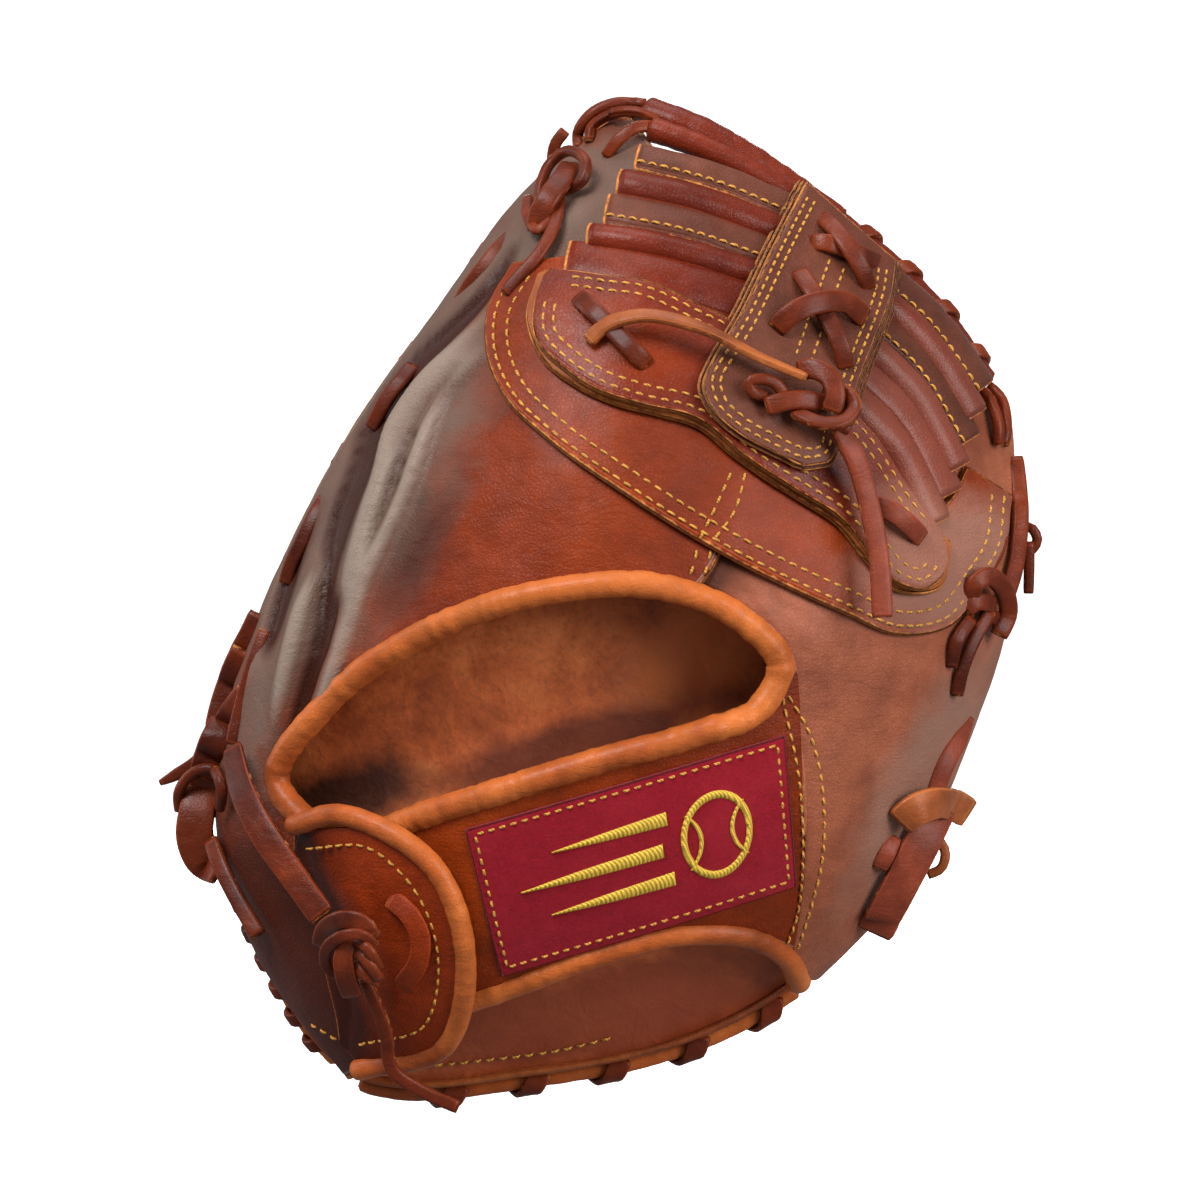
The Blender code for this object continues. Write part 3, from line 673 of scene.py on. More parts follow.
def leather(name, colour, light, dark, roughness=0.4, coat=0.06, grain=1.0, patch=11.0, dust=0.0,
            stains_and_painted_light=(), crest=None):
    """Oiled leather: uneven colour, fine pores and grain, soft wrinkles and suede on cut edges.

    The crest is the colour of the painted highlight on the crests of folds.
    """
    paint, tree, shader = new_material(name)
    place = coordinates(tree)
    broad = noise_of(tree, place, patch, 3, 0.6, 0.6)
    tone = ramp(tree, broad, [(0.3, rgba(dark)), (0.5, rgba(colour)), (0.72, rgba(light))])
    cloudy = noise_of(tree, place, 75, 6, 0.65)
    shade = ramp(tree, cloudy, [(0.3, (0.62, 0.6, 0.6, 1)), (0.7, (1.3, 1.3, 1.3, 1))])
    tone = mix(tree, 0.75, tone, shade, "MULTIPLY")
    scuffs = noise_of(tree, coordinates(tree, (0.5, 1, 2.2)), 260, 5, 0.7)
    tone = mix(tree, remap(tree, scuffs, 0.62, 0.8, 0.0, 0.35), tone, rgba(light, 1.5))
    cells = node(tree, "ShaderNodeTexVoronoi", {"feature": "DISTANCE_TO_EDGE"}, Vector=place, Scale=850.0)
    pores = remap(tree, cells.outputs["Distance"], 0.0, 0.25, 0.0, 1.0)
    tone = mix(tree, remap(tree, pores, 0.0, 1.0, 0.22 * grain, 0.0), tone, rgba(dark, 0.55))
    tone = with_stains_and_painted_light(tree, tone, stains_and_painted_light)
    cut = node(tree, "ShaderNodeAttribute", {"attribute_name": "cut"}).outputs["Fac"]
    # Painted shade: creases darkened where shade falls in them.
    tone = mix(tree, remap(tree, cut, -1.0, -0.1, 0.9, 0.0), tone, rgba(dark, 0.25))
    # Painted highlight: the crests of folds made lighter.
    on_crest = calc(tree, "MULTIPLY", remap(tree, cut, 0.0, CREST_HIGHLIGHT_LEVEL, 0.0, 0.6),
                    remap(tree, cut, CREST_HIGHLIGHT_LEVEL, 0.35, 1.0, 0.0))
    tone = mix(tree, on_crest, tone, rgba(crest) if crest else rgba(light, 1.35))
    fray = remap(tree, noise_of(tree, place, 420, 4), 0.3, 0.7, -0.25, 0.25)
    bare = remap(tree, calc(tree, "ADD", cut, fray), 0.46, 0.72, 0.0, 1.0)
    suede = ramp(tree, noise_of(tree, place, 500, 5, 0.7), [(0.3, rgba(SUEDE, 0.4)), (0.65, rgba(SUEDE))])
    worn = remap(tree, noise_of(tree, place, 48, 5, 0.6), 0.3, 0.7, roughness - 0.09, roughness + 0.12)
    wrinkles = noise_of(tree, coordinates(tree, (0.7, 1, 1.6)), 120, 5, 0.6, 1.2)
    surface = bump(tree, wrinkles, 0.0009, 0.5)
    surface = bump(tree, pores, 0.00012, 0.55 * grain, Normal=surface)
    surface = bump(tree, noise_of(tree, place, 2200, 2), 0.00008, 0.5, Normal=surface)
    feed(tree, shader, Base_Color=mix(tree, bare, tone, suede), Normal=surface,
         Roughness=calc(tree, "ADD", worn, calc(tree, "MULTIPLY", bare, 0.45)),
         Coat_Weight=coat, Coat_Roughness=0.3, Specular_IOR_Level=0.12,
         Sheen_Weight=dust, Sheen_Roughness=0.35, Sheen_Tint=(0.9, 0.82, 0.76, 1))
    return paint


def lining_leather(name, stains_and_painted_light):
    """Bare, mottled inner leather, with painted shade, painted shadow and painted light in places."""
    paint, tree, shader = new_material(name)
    place = coordinates(tree)
    blotches = noise_of(tree, place, 38, 6, 0.68, 0.5)
    tone = ramp(tree, blotches, [(0.33, (0.30, 0.056, 0.013, 1)), (0.5, (0.60, 0.130, 0.030, 1)),
                                 (0.68, (0.82, 0.230, 0.062, 1))])
    specks = noise_of(tree, place, 520, 4, 0.7)
    tone = mix(tree, remap(tree, specks, 0.5, 0.75, 0.0, 0.45), tone, (0.09, 0.03, 0.012, 1))
    surface = bump(tree, noise_of(tree, place, 90, 5, 0.6, 1.0), 0.0012, 0.5)
    feed(tree, shader, Base_Color=with_stains_and_painted_light(tree, tone, stains_and_painted_light),
         Roughness=remap(tree, blotches, 0.3, 0.7, 0.5, 0.75),
         Normal=bump(tree, specks, 0.0002, 0.6, Normal=surface))
    return paint


def felt(name, colour, fleck, fuzz):
    """Pressed wool: soft, flecked and matt."""
    paint, tree, shader = new_material(name)
    fibres = noise_of(tree, coordinates(tree, (1, 1, 1.7)), 420, 7, 0.8, 2.5)
    tone = ramp(tree, fibres, [(0.3, rgba(colour, 0.55)), (0.55, rgba(colour)), (0.8, rgba(fleck))])
    worn = remap(tree, noise_of(tree, coordinates(tree), 60, 4), 0.45, 0.75, 0.0, 0.4)
    feed(tree, shader, Base_Color=mix(tree, worn, tone, rgba(fleck)), Roughness=0.92,
         Specular_IOR_Level=0.15, Sheen_Weight=fuzz, Sheen_Roughness=0.45,
         Normal=bump(tree, fibres, 0.0004, 0.8))
    return paint


def thread(name, colour):
    """Twisted thread; embroidery is the same in many close rows."""
    paint, tree, shader = new_material(name)
    place = coordinates(tree)
    twist = node(tree, "ShaderNodeTexWave", {"bands_direction": "DIAGONAL"}, Vector=place, Scale=420.0,
                 Distortion=1.5, Detail=2.0).outputs["Fac"]
    tone = ramp(tree, twist, [(0.1, rgba(colour, 0.5)), (0.6, rgba(colour))])
    soiled = remap(tree, noise_of(tree, place, 240, 4), 0.45, 0.7, 0.0, 0.5)
    feed(tree, shader, Base_Color=mix(tree, soiled, tone, rgba(colour, 0.55)), Roughness=0.55,
         Specular_IOR_Level=0.2, Normal=bump(tree, twist, 0.00025, 0.8))
    return paint


def plain_stage(name):
    """Matt paper, very slightly uneven, that glows so that it stays white."""
    paint, tree, shader = new_material(name)
    uneven = ramp(tree, noise_of(tree, coordinates(tree), 3, 2),
                  [(0.3, (0.84, 0.84, 0.84, 1)), (0.7, (0.86, 0.86, 0.86, 1))])
    feed(tree, shader, Base_Color=uneven, Roughness=0.9, Emission_Color=(1, 1, 1, 1),
         Emission_Strength=0.9)
    return paint


# Painted sheen: grey reflection painted on the back's left folds and near the fingertip.
PAINTED_GREY_SHEEN = (0.115, 0.074, 0.056)
# Painted shade: dark colour painted left of the flap and along the heel.
PAINTED_SHADE = (0.050, 0.007, 0.003)
BACK_PAINT = leather("oiled_back_leather", (0.190, 0.023, 0.002), (0.275, 0.036, 0.003),
                     (0.108, 0.012, 0.002), 0.42, 0.06, dust=0.01, crest=CREST_HIGHLIGHT_COLOUR,
                     stains_and_painted_light=((PAINTED_GREY_SHEEN, (-48, 66), (125, 27), 63, 0.88),
                             (PAINTED_GREY_SHEEN, (16, 146), (34, 22), 50, 0.85),
                             (PAINTED_SHADE, (-72, -78), (62, 24), 118, 0.9),
                             (PAINTED_SHADE, (22, -94), (76, 17), 8, 0.75)))
FLAP_PAINT = leather("dark_flap_leather", (0.180, 0.018, 0.002), (0.260, 0.030, 0.003),
                     (0.108, 0.010, 0.002), 0.42, 0.06)
# Painted light: grey-pink light painted on the band's right end.
BAND_PAINT = leather("web_base_leather", (0.190, 0.024, 0.003), (0.258, 0.037, 0.005),
                     (0.117, 0.014, 0.003), 0.42, 0.06, dust=0.04,
                     stains_and_painted_light=(((0.27, 0.125, 0.088), (122, 38), (34, 22), 20, 0.85),))
# Painted sheen: grey light painted along the right of the thumb.
THUMB_PAINT = leather("matt_thumb_leather", (0.305, 0.088, 0.044), (0.40, 0.120, 0.060),
                      (0.200, 0.052, 0.025), 0.5, 0.05, dust=0.12,
                      stains_and_painted_light=(((0.24, 0.130, 0.095), (116, -22), (48, 13), 62, 0.8),))
# The first patch is a brighter tone; the other two are painted light, a greyish sheen on the thumb side.
WEB_PAINT = leather("web_leather", (0.130, 0.015, 0.005), (0.175, 0.024, 0.007),
                    (0.078, 0.009, 0.004), 0.32, 0.12,
                    stains_and_painted_light=(((0.200, 0.023, 0.002), (26, 103), (27, 13), -22, 0.7),
                            ((0.30, 0.125, 0.082), (112, 44), (24, 17), -60, 0.75),
                            ((0.200, 0.058, 0.038), (114, 86), (44, 24), -52, 0.6)))
SPINE_PAINT = leather("strap_leather", (0.115, 0.033, 0.018), (0.150, 0.045, 0.026), (0.078, 0.020, 0.011),
                      0.42, 0.06, dust=0.08)
ROLL_PAINT = leather("rolled_binding_leather", (0.37, 0.080, 0.017), (0.56, 0.150, 0.032),
                     (0.18, 0.038, 0.010), 0.4, 0.1, 0.6, 24,
                     stains_and_painted_light=(((0.58, 0.160, 0.034), (10, 31), (62, 13), 8, 0.4),))
LACE_PAINT = leather("lace_rawhide", (0.115, 0.017, 0.005), (0.170, 0.028, 0.007), (0.060, 0.009, 0.004),
                     0.36, 0.1, 0.5, 40)
TAIL_PAINT = leather("worn_lace_rawhide", (0.20, 0.038, 0.018), (0.265, 0.055, 0.026), (0.125, 0.023, 0.011),
                     0.42, 0.06, 0.5, 40)
KNOT_PAINT = leather("new_lace_rawhide", (0.27, 0.070, 0.020), (0.38, 0.112, 0.030), (0.15, 0.036, 0.012),
                     0.38, 0.1, 0.5, 30)
PALM_PAINT = leather("palm_leather_finish", (0.25, 0.058, 0.016), (0.35, 0.092, 0.024),
                     (0.14, 0.032, 0.011), 0.44, 0.08)
# Painted shade at the heel, painted shadow in the left corner and under the opening roll, painted light at
# the upper right.
LINING_PAINT = lining_leather("hand_lining_leather", (((0.215, 0.030, 0.005), (24, -94), (86, 22), 8, 0.9),
                                                      ((0.030, 0.008, 0.004), (-56, -30), (32, 12), 15, 0.9),
                                                      ((0.120, 0.018, 0.005), (12, -14), (56, 8), 17, 0.85),
                                                      ((0.90, 0.235, 0.060), (48, 14), (24, 14), 30, 0.7)))
FELT_PAINT = felt("crimson_felt_finish", (0.27, 0.006, 0.016), (0.37, 0.018, 0.032), 0.08)
PAD_PAINT = felt("wool_pad_finish", (0.62, 0.55, 0.44), (0.78, 0.72, 0.60), 0.3)
THREAD_PAINT = thread("golden_thread", (0.66, 0.31, 0.06))
EMBROIDERY_PAINT = thread("embroidery_thread", (0.80, 0.52, 0.065))
STAGE_PAINT = plain_stage("studio_paper")


# ---- Shell -----------------------------------------------------------------------------------

CLOSE_TO_RIM = 0.993  # a share of the way to the rim


def towards_rim(controls):
    """Controls moved straight out from the back's centre, to where its leather ends."""
    offsets = np.array(controls, float) - BACK_CENTRE
    angles = np.arctan2(offsets[:, 1], offsets[:, 0])
    return from_centre(BACK_CENTRE, angles, CLOSE_TO_RIM * rim_radius(angles, BACK_CENTRE))


def make_finger_back():
    silhouette = [
        (-52, -109), (-78, -75), (-90, -40), (-90, -20), (-85, 0), (-76, 26), (-64, 50), (-54, 68),
        (-47, 79), (-40, 88), (-34, 98), (-27, 108), (-15, 125), (-4, 141), (9, 156), (28, 170),
    ]
    inner_edge = [
        (-34, -104), (-56, -78), (-66, -46), (-73, -26), (-60, -1), (-31, 19), (6, 32.4), (48, 33),
        (57, 49), (62, 64), (48, 84), (34, 98), (28, 112), (27, 128), (29, 146), (36, 162),
    ]
    # Its creases get painted shade and its ridges a painted highlight, through the cut attribute.
    relief = folds([
        ([(-4, 133), (-14, 118), (-23, 108.5), (-31, 101), (-41, 90), (-47, 81), (-51, 67), (-56, 54),
          (-60, 34), (-61, 15)], (4.5, 1.8), -7.0),
        ([(-6, 120), (-16, 108), (-25, 99), (-34, 89), (-40, 79), (-43, 66), (-48, 50), (-53, 32)], 3.0, 4.4),
        ([(-10, 104), (-17, 97), (-25, 88), (-29, 79), (-33, 67), (-38, 54), (-47, 34), (-53, 12)],
         (2.2, 7.0), 5.0),
        ([(-20, 96), (-29, 85), (-35, 72), (-40, 58), (-47, 40)], (2.4, 1.4), -5.0),
        ([(-64, 56), (-69, 44), (-73, 32), (-79, 12)], (2.6, 1.4), -6.0),
        ([(-60, 40), (-66, 26), (-70, 10), (-74, -10)], 3.0, 4.4),
        ([(-55, 30), (-62, 10), (-70, -12), (-76, -24)], (1.6, 3.0), -5.0),
        ([(-52, 24), (-58, 4), (-66, -14)], 3.0, 2.6),
        ([(-36, 106), (-50, 86), (-60, 66)], 3.0, 2.4),
        ([(-70, 50), (-78, 26), (-84, 0)], 3.0, 2.0),
        ([(-20, 60), (-34, 40), (-44, 20)], 9.0, -1.6),
        ([(30, 148), (10, 141), (-2, 126)], 6.0, 1.6),
    ])
    places = between(towards_rim(silhouette), inner_edge)
    body = sheet(places, back, 0, LEATHER, (220, 80), relief)
    add("finger_back_leather", body, BACK_PAINT, "finger_side", ["finger_back"])


def make_thumb_back():
    left = [(42, 37), (59, 28.5), (73, 15), (77, -12), (79, -36), (78, -60), (75, -82)]
    right = [(50, 76), (92, 62), (133, 90), (139, 20), (125, -22), (106, -58), (84, -84)]
    right = np.vstack([right[:2], towards_rim(right[2:])])
    relief = folds([
        ([(72, 104), (63, 72), (50, 34), (36, -4)], 8.0, -3.2),
        ([(60, 40), (72, 28), (84, 20)], 2.0, -0.5),
        ([(58, 36), (68, 24), (80, 12)], 1.4, -0.45),
        ([(66, 44), (80, 30), (92, 18)], 1.6, -0.4),
        ([(120, 30), (116, 0), (108, -30)], 12.0, 1.0),
        ([(96, 10), (98, -20), (92, -50)], 9.0, -0.8),
        ([(64, 30), (74, 17)], 1.2, 0.5),
    ])
    body = sheet(between(left, right), back, 0.3, LEATHER, (150, 70), relief)
    add("thumb_back_leather", body, THUMB_PAINT, ACROSS_FOLD, ["thumb_back_crotch", "thumb_back"])


def make_opening():
    edge = [
        (-48, -42), (-66, -35), (-74, -26), (-58, 0), (-29, 20), (9, 32), (36, 33), (60, 24),
        (72, 10), (66, -2), (49, -9), (20, -17), (-9, -26), (-38, -36), (-50, -42),
    ]
    body = roll_on_back(edge, OPENING_ROLL - 0.3, LEATHER / 2, 90, creases=0.1)
    add("hand_opening_roll", body, ROLL_PAINT, "finger_side", ["hand_opening_binding"])


def make_strap():
    top = [(-40, -39), (-9, -27), (22, -18), (50, -10), (66, -2), (77.5, 12)]
    bottom = [(-30, -88), (-17, -86), (20, -72), (48, -66.5), (68, -69), (80, -75)]
    relief = folds([([(-20, -46), (-14, -78)], 5, 0.6), ([(10, -70), (40, -64)], 3, 0.4)])
    body = sheet(between(top, bottom), back, 0.2, LEATHER, (120, 50), relief)
    add("wrist_strap_leather", body, BACK_PAINT, "finger_side", ["wrist_strap"])
    lower = [(-24, -90), (-12, -86), (20, -74), (48, -67.5), (66, -70), (76, -77), (79, -84)]
    add("strap_lower_roll", roll_on_back(lower, EDGE_ROLL + 0.4, LEATHER / 2, creases=0.06), ROLL_PAINT,
        "finger_side", ["strap_lower_binding"])


PATCH_THICKNESS = 1.2
PATCH_LIFT = LEATHER + 0.3
PATCH_TOP = PATCH_LIFT + PATCH_THICKNESS
PATCH_CORNERS = np.array([[(-8, -80), (77, -54)], [(-18, -37), (73, -10)]], float)
SATIN_ROWS = 3.0  # to a millimetre
SATIN_COLUMNS = 9


def patch_place(across, up):
    """A place on the label patch; across and up are shares of its width and its height."""
    across, up = np.asarray(across, float)[..., None], np.asarray(up, float)[..., None]
    low, high = (start + (end - start) * across for start, end in PATCH_CORNERS)
    return low + (high - low) * up


def make_patch():
    points, faces, _ = sheet(patch_place, back, PATCH_LIFT, PATCH_THICKNESS, (120, 60))
    add("felt_patch", (points, faces, np.zeros(len(points))), FELT_PAINT, "finger_side", ["label_patch"])
    margin_across, margin_up = 0.022, 0.045
    corners = [(margin_across, margin_up), (1 - margin_across, margin_up),
               (1 - margin_across, 1 - margin_up), (margin_across, 1 - margin_up)]
    rows = []
    for start, end in zip(corners, corners[1:] + corners[:1]):
        path = np.linspace(start, end, 40)
        places = patch_place(path[:, 0], path[:, 1])
        rows.append((lifted(back, places, np.full(40, PATCH_TOP)), facing(back, places)))
    add("patch_stitching", stitched(rows, pitch=3.3, length=2.3), THREAD_PAINT, "finger_side")
    add("patch_embroidery", joined(embroidery()), EMBROIDERY_PAINT, "finger_side")


def satin(side_a, side_b):
    """A raised area of embroidery between two edges, ribbed across like satin stitch."""
    count = max(6, int(SATIN_ROWS * length_of(patch_place(*np.array(side_a).T))))
    columns = SATIN_COLUMNS
    u, v = np.meshgrid(np.linspace(0, 1, count), np.linspace(0, 1, columns), indexing="ij")
    path = between(side_a, side_b)(u.ravel(), v.ravel())
    places = patch_place(path[:, 0], path[:, 1])
    rib = 0.12 * np.cos(math.pi * np.arange(count))
    height = (1.1 * np.sin(math.pi * v) ** 0.5 + rib[:, None]).ravel()
    top = lifted(back, places, PATCH_TOP - 0.35 + height)
    base = lifted(back, places, np.full(len(places), PATCH_TOP - 0.5))
    across = np.arange(columns)
    around = np.concatenate([across, across[::-1] + count * columns])
    faces = []
    for row in range(count - 1):
        loop = around + row * columns
        ahead = np.roll(loop, -1)
        faces += np.stack([loop, ahead, ahead + columns, loop + columns], axis=-1).tolist()
    faces += [around[::-1].tolist(), (around + (count - 1) * columns).tolist()]
    return np.vstack([top, base]), faces, np.zeros(2 * len(places))


def embroidery():
    """A plain ball with two seams, and three bars that stream behind it."""
    centre, across, up = (0.76, 0.5), 0.118, 0.29
    rim, inner = ([(centre[0] + share * across * math.cos(a), centre[1] + share * up * math.sin(a))
                   for a in np.linspace(0, 2 * math.pi, 25)] for share in (1.0, 0.8))
    shapes = [satin(rim, inner)]
    for side in (-1, 1):
        bows = [[(centre[0] + side * across * (bow + 0.34 * t * t), centre[1] + 0.62 * up * t)
                 for t in (-1, -0.5, 0, 0.5, 1)] for bow in (0.36, 0.50)]
        shapes.append(satin(*bows))
    for level, start, end in ((0.70, 0.24, 0.61), (0.5, 0.12, 0.585), (0.30, 0.20, 0.61)):
        edges = [[(start, level + sign * 0.006), (start + 0.2, level + sign * 0.035),
                  (end, level + sign * 0.052)] for sign in (1, -1)]
        shapes.append(satin(*edges))
    return shapes


def make_flap():
    outer = [(-69, -38), (-44, -37.5), (-29.5, -48), (-20, -75), (-26.5, -100), (-51, -109)]
    inner = [(-70, -46), (-67, -54), (-64, -66), (-61, -80), (-58, -94), (-57, -103)]
    # The deep crease along the inner edge gets painted shade.
    relief = folds([([(-76, -24), (-68, -56), (-62, -80), (-56, -122)], 9, 1.5 - FLAP_LIFT),
                    ([(-60, -50), (-48, -60), (-40, -78), (-42, -98)], 4, 0.9),
                    ([(-62, -60), (-56, -80), (-52, -96)], 3, -0.9)])
    body = sheet(between(inner, outer), back, FLAP_LIFT, LEATHER, (90, 50), relief)
    add("wrist_flap_leather", body, FLAP_PAINT, "finger_side", ["wrist_flap"])
    edge = [(-70, -37), (-56, -33), (-42, -37), (-28, -47), (-18.5, -75), (-25, -101), (-52, -110)]
    add("wrist_flap_roll", roll_on_back(edge, EDGE_ROLL, FLAP_LIFT + LEATHER / 2), ROLL_PAINT,
        "finger_side", ["wrist_flap_binding"])


def resting(places, reach):
    """How near the wearer the back comes within a reach of each place."""
    turns = np.linspace(0, 2 * math.pi, 8, endpoint=False)
    steps = reach * np.stack([np.cos(turns), np.sin(turns)], axis=-1)
    return np.min([back(places + step) for step in steps], axis=0)


def strand(controls, width=LACE_WIDTH, thickness=LACE_THICKNESS, ends=(1.0, 1.0), turn=(0.0, 0.0)):
    """A flat lace through controls of (x, z, lift), clear of the back and turned to the wearer.

    Its ends may be narrower, as shares of its width; turn tilts it about its own length, by one
    angle at its start and another at its end.
    """
    path = smooth_curve(controls, 60)
    places = path[:, :2]
    outward = facing(back, places)
    lift = path[:, 2] / np.clip(-outward[:, 1], 0.75, 1)
    points = at_depth(places, resting(places, 0.4 * width) - lift)
    normals = unit(0.35 * outward + (0.0, -1.0, 0.0))
    side = np.cross(normals, unit(np.gradient(points, axis=0)))
    angle = np.linspace(*turn, len(points))[:, None]
    return lace(points, np.cos(angle) * normals + np.sin(angle) * side, width, thickness, ends)


def add_laces(name, strands, body, stands_for=(), paint=None):
    """A piece of several strands, of lace leather unless it is painted otherwise."""
    add(name, joined(strands), paint or LACE_PAINT, body, stands_for)


def cord_piece(name, points, width, thickness, paint, stands_for, body):
    """A free lace end."""
    turning = np.linspace(0, 3, len(points))[:, None] * np.array([0.0, -1.0, 0.0])
    normals = unit(facing(back, points[:1, [0, 2]]) + turning)
    piece = add(name, lace(points, normals, width, thickness), paint, body, [stands_for])


def make_wrist_lace():
    band = strand([(-88, -14.5, OVER_FLAP - 6), (-84.5, -26, OVER_FLAP - 1), (-78, -38, OVER_FLAP + 1),
                   (-69.3, -50, OVER_FLAP + 1.4), (-60, -62.5, OVER_FLAP + 2)], 8.4, ends=(0.72, 1.0))
    add_laces("wrist_lace_strip", [band], "finger_side", ["wrist_lace"])
    high = OVER_FLAP + 3
    shapes = [
        strand([(-60.7, -71, high), (-59, -66, high + 2), (-54, -63, high + 4), (-48.5, -63.5, high + 4),
                (-44.5, -68.5, high + 2)], 5.6),
        strand([(-56, -80, high + 3), (-59, -76, high + 6), (-58, -70.5, high + 8), (-53.5, -67.4, high + 8),
                (-48, -67, high + 6), (-44.5, -70, high + 3)], 3.4, 2.2),
        strand([(-50.5, -68.5, high + 3), (-53.3, -72.5, high + 6), (-53, -79, high + 6),
                (-51.4, -85.3, high + 3)], 6.2, 2.2, ends=(0.7, 1.0)),
        strand([(-51, -68, high + 3), (-46, -71.5, high + 6), (-43.5, -77, high + 3)], 3.4, 2.6),
        strand([(-50, -71, high + 4), (-46.5, -75, high + 6), (-43, -80, high + 4)], 3.2, 2.6),
        strand([(-50.5, -75, high + 3), (-47.5, -79, high + 5), (-43.5, -81, high + 3)], 3.0, 2.4),
    ]
    add_laces("wrist_lace_knot", shapes, "finger_side", ["wrist_knot"])
    low = FLAP_LIFT + LEATHER
    second = strand([(-40, -57, low - 2), (-35, -61, low + 0.5), (-31.5, -68, low + 1.2),
                     (-32, -75, low + 1.2), (-37, -83, low - 2)], 6, 1.8)
    add_laces("wrist_second_lace", [second], "finger_side", paint=FLAP_PAINT)


def make_wrist_tail():
    tail = lifted(back, smooth_curve([(-48, -80), (-44, -90), (-41, -99)], 8), np.full(8, OVER_FLAP + 4))
    end = np.array([(-40, 0, -108), (-32, 0, -114), (-21, 0, -119)], float)
    end[:, 1] = tail[-1, 1] + np.array([3, 5, 6])
    route = smooth_curve(np.vstack([tail[::3], end]), 40)
    cord_piece("wrist_tail_lace", route, 4, 2.4, LACE_PAINT, "wrist_tail", "finger_side")


# ---- Palm side -------------------------------------------------------------------------------

def reach_of(centre, share, web_share):
    """How far to go from a centre: a share of the way to the rim, and another towards the web."""
    def reach(angles):
        full = rim_radius(angles, centre)
        towards_web = in_web_direction(from_centre(centre, angles, full))
        return full * (share + (web_share - share) * towards_web)

    return reach


def make_palm():
    def relief(over):
        share = rim_share(over, POCKET_CENTRE)
        pocket_channel = 1.6 * np.exp(-((share - 0.70) / 0.018) ** 2)
        rim_channel = 1.2 * np.exp(-((share - 0.935) / 0.012) ** 2)
        return pocket_channel + rim_channel + 0.8 * rumple_over(over, 40, 9)

    place = disc(POCKET_CENTRE, reach_of(POCKET_CENTRE, 0.985, 0.60))
    body = sheet(place, palm, -PALM_LEATHER, PALM_LEATHER, (170, 170), relief)
    piece = add("palm_cover", body, PALM_PAINT, ACROSS_FOLD, ["palm_leather"])


def make_lining():
    def relief(over):
        stalls = sum(np.exp(-((over[:, 0] - x - 0.3 * over[:, 1]) / 3.0) ** 2) for x in (-20, 4, 28, 50))
        return 0.8 * rumple_over(over, 30, 4) - stalls * smooth_step(over[:, 1], -5, 25)

    centre = (20, 0)
    body = sheet(disc(centre, reach_of(centre, 0.965, 0.5)), lining, -THIN_LEATHER, THIN_LEATHER,
                 (120, 120), relief)
    add("hand_lining", body, LINING_PAINT, ACROSS_FOLD, ["palm_lining", "thumb_stall"])


def make_palm_stitching():
    rows = []
    for share in (0.69, 0.71):
        angles = np.radians(np.linspace(118, 375, 80))
        places = from_centre(POCKET_CENTRE, angles, share * rim_radius(angles, POCKET_CENTRE))
        rows.append((lifted(palm, places, np.full(80, -PALM_LEATHER)), -facing(palm, places)))
    add("palm_stitching", stitched(rows, 4.2), THREAD_PAINT, ACROSS_FOLD)


# ---- Web -------------------------------------------------------------------------------------

BAND_TOP = BAND_LIFT + LEATHER
CRESCENT_THICKNESS = 2.2
CRESCENT_LIFTS = (BAND_TOP + 0.4, BAND_TOP + 0.4 + CRESCENT_THICKNESS + 0.3)
SPINE_COVER_LIFT = SPINE_LIFT + 2.6
SPINE_THICKNESS = 1.9
SPINE_TOP = SPINE_COVER_LIFT + SPINE_THICKNESS


def make_web_base():
    lower = [(-5, 127), (-12, 114), (-12.5, 102), (-7, 88), (6, 75), (27, 60), (51, 45), (70, 35),
             (91, 25.5), (106, 19.5), (122, 22), (132, 33), (139, 43), (142, 60)]
    upper = [(14, 129), (9, 118), (13, 108), (24, 99), (38, 92), (52, 85), (66, 78), (78, 71),
             (91, 62), (101, 54), (110, 50), (117, 53), (123, 59), (128, 68)]
    body = sheet(between(lower, upper), back, BAND_LIFT, LEATHER, (200, 24), folds([]))
    add("web_base_band", body, BAND_PAINT, ACROSS_FOLD, ["web_base_finger", "web_base_thumb"])
    return lower


def make_crescent():
    lower = [(4.5, 123), (1.5, 113), (2, 104.5), (9, 96.5), (19, 89.5), (32, 85), (48, 81), (62, 70),
             (76, 61), (90, 52), (98, 42), (106, 34), (114, 32.4), (120, 37.5), (120, 46)]
    upper = [(6, 124.5), (14, 123.5), (24, 122), (32, 121), (40, 118), (48, 114), (58, 109), (68, 100),
             (80, 92), (92, 84), (99, 77), (104, 70), (109, 62), (114, 55), (119, 48)]
    wider = offset_curve(lower, -1.9, len(lower))
    nodes = ["web_crescent_finger", "web_crescent_thumb"]
    layers = ((wider, CRESCENT_LIFTS[0], KNOT_PAINT, []), (lower, CRESCENT_LIFTS[1], WEB_PAINT, nodes))
    for i, (side, lift, paint, stands_for) in enumerate(layers):
        body = sheet(between(side, upper), back, lift, CRESCENT_THICKNESS, (200, 40), folds([]))
        add(f"web_crescent_layer_{i + 1}", body, paint, ACROSS_FOLD, stands_for)
    return lower, upper


def bowed_middle(first, last, bow):
    """Halfway between two places, moved by the bow."""
    return (np.array(first, float) + np.array(last, float)) / 2 + bow


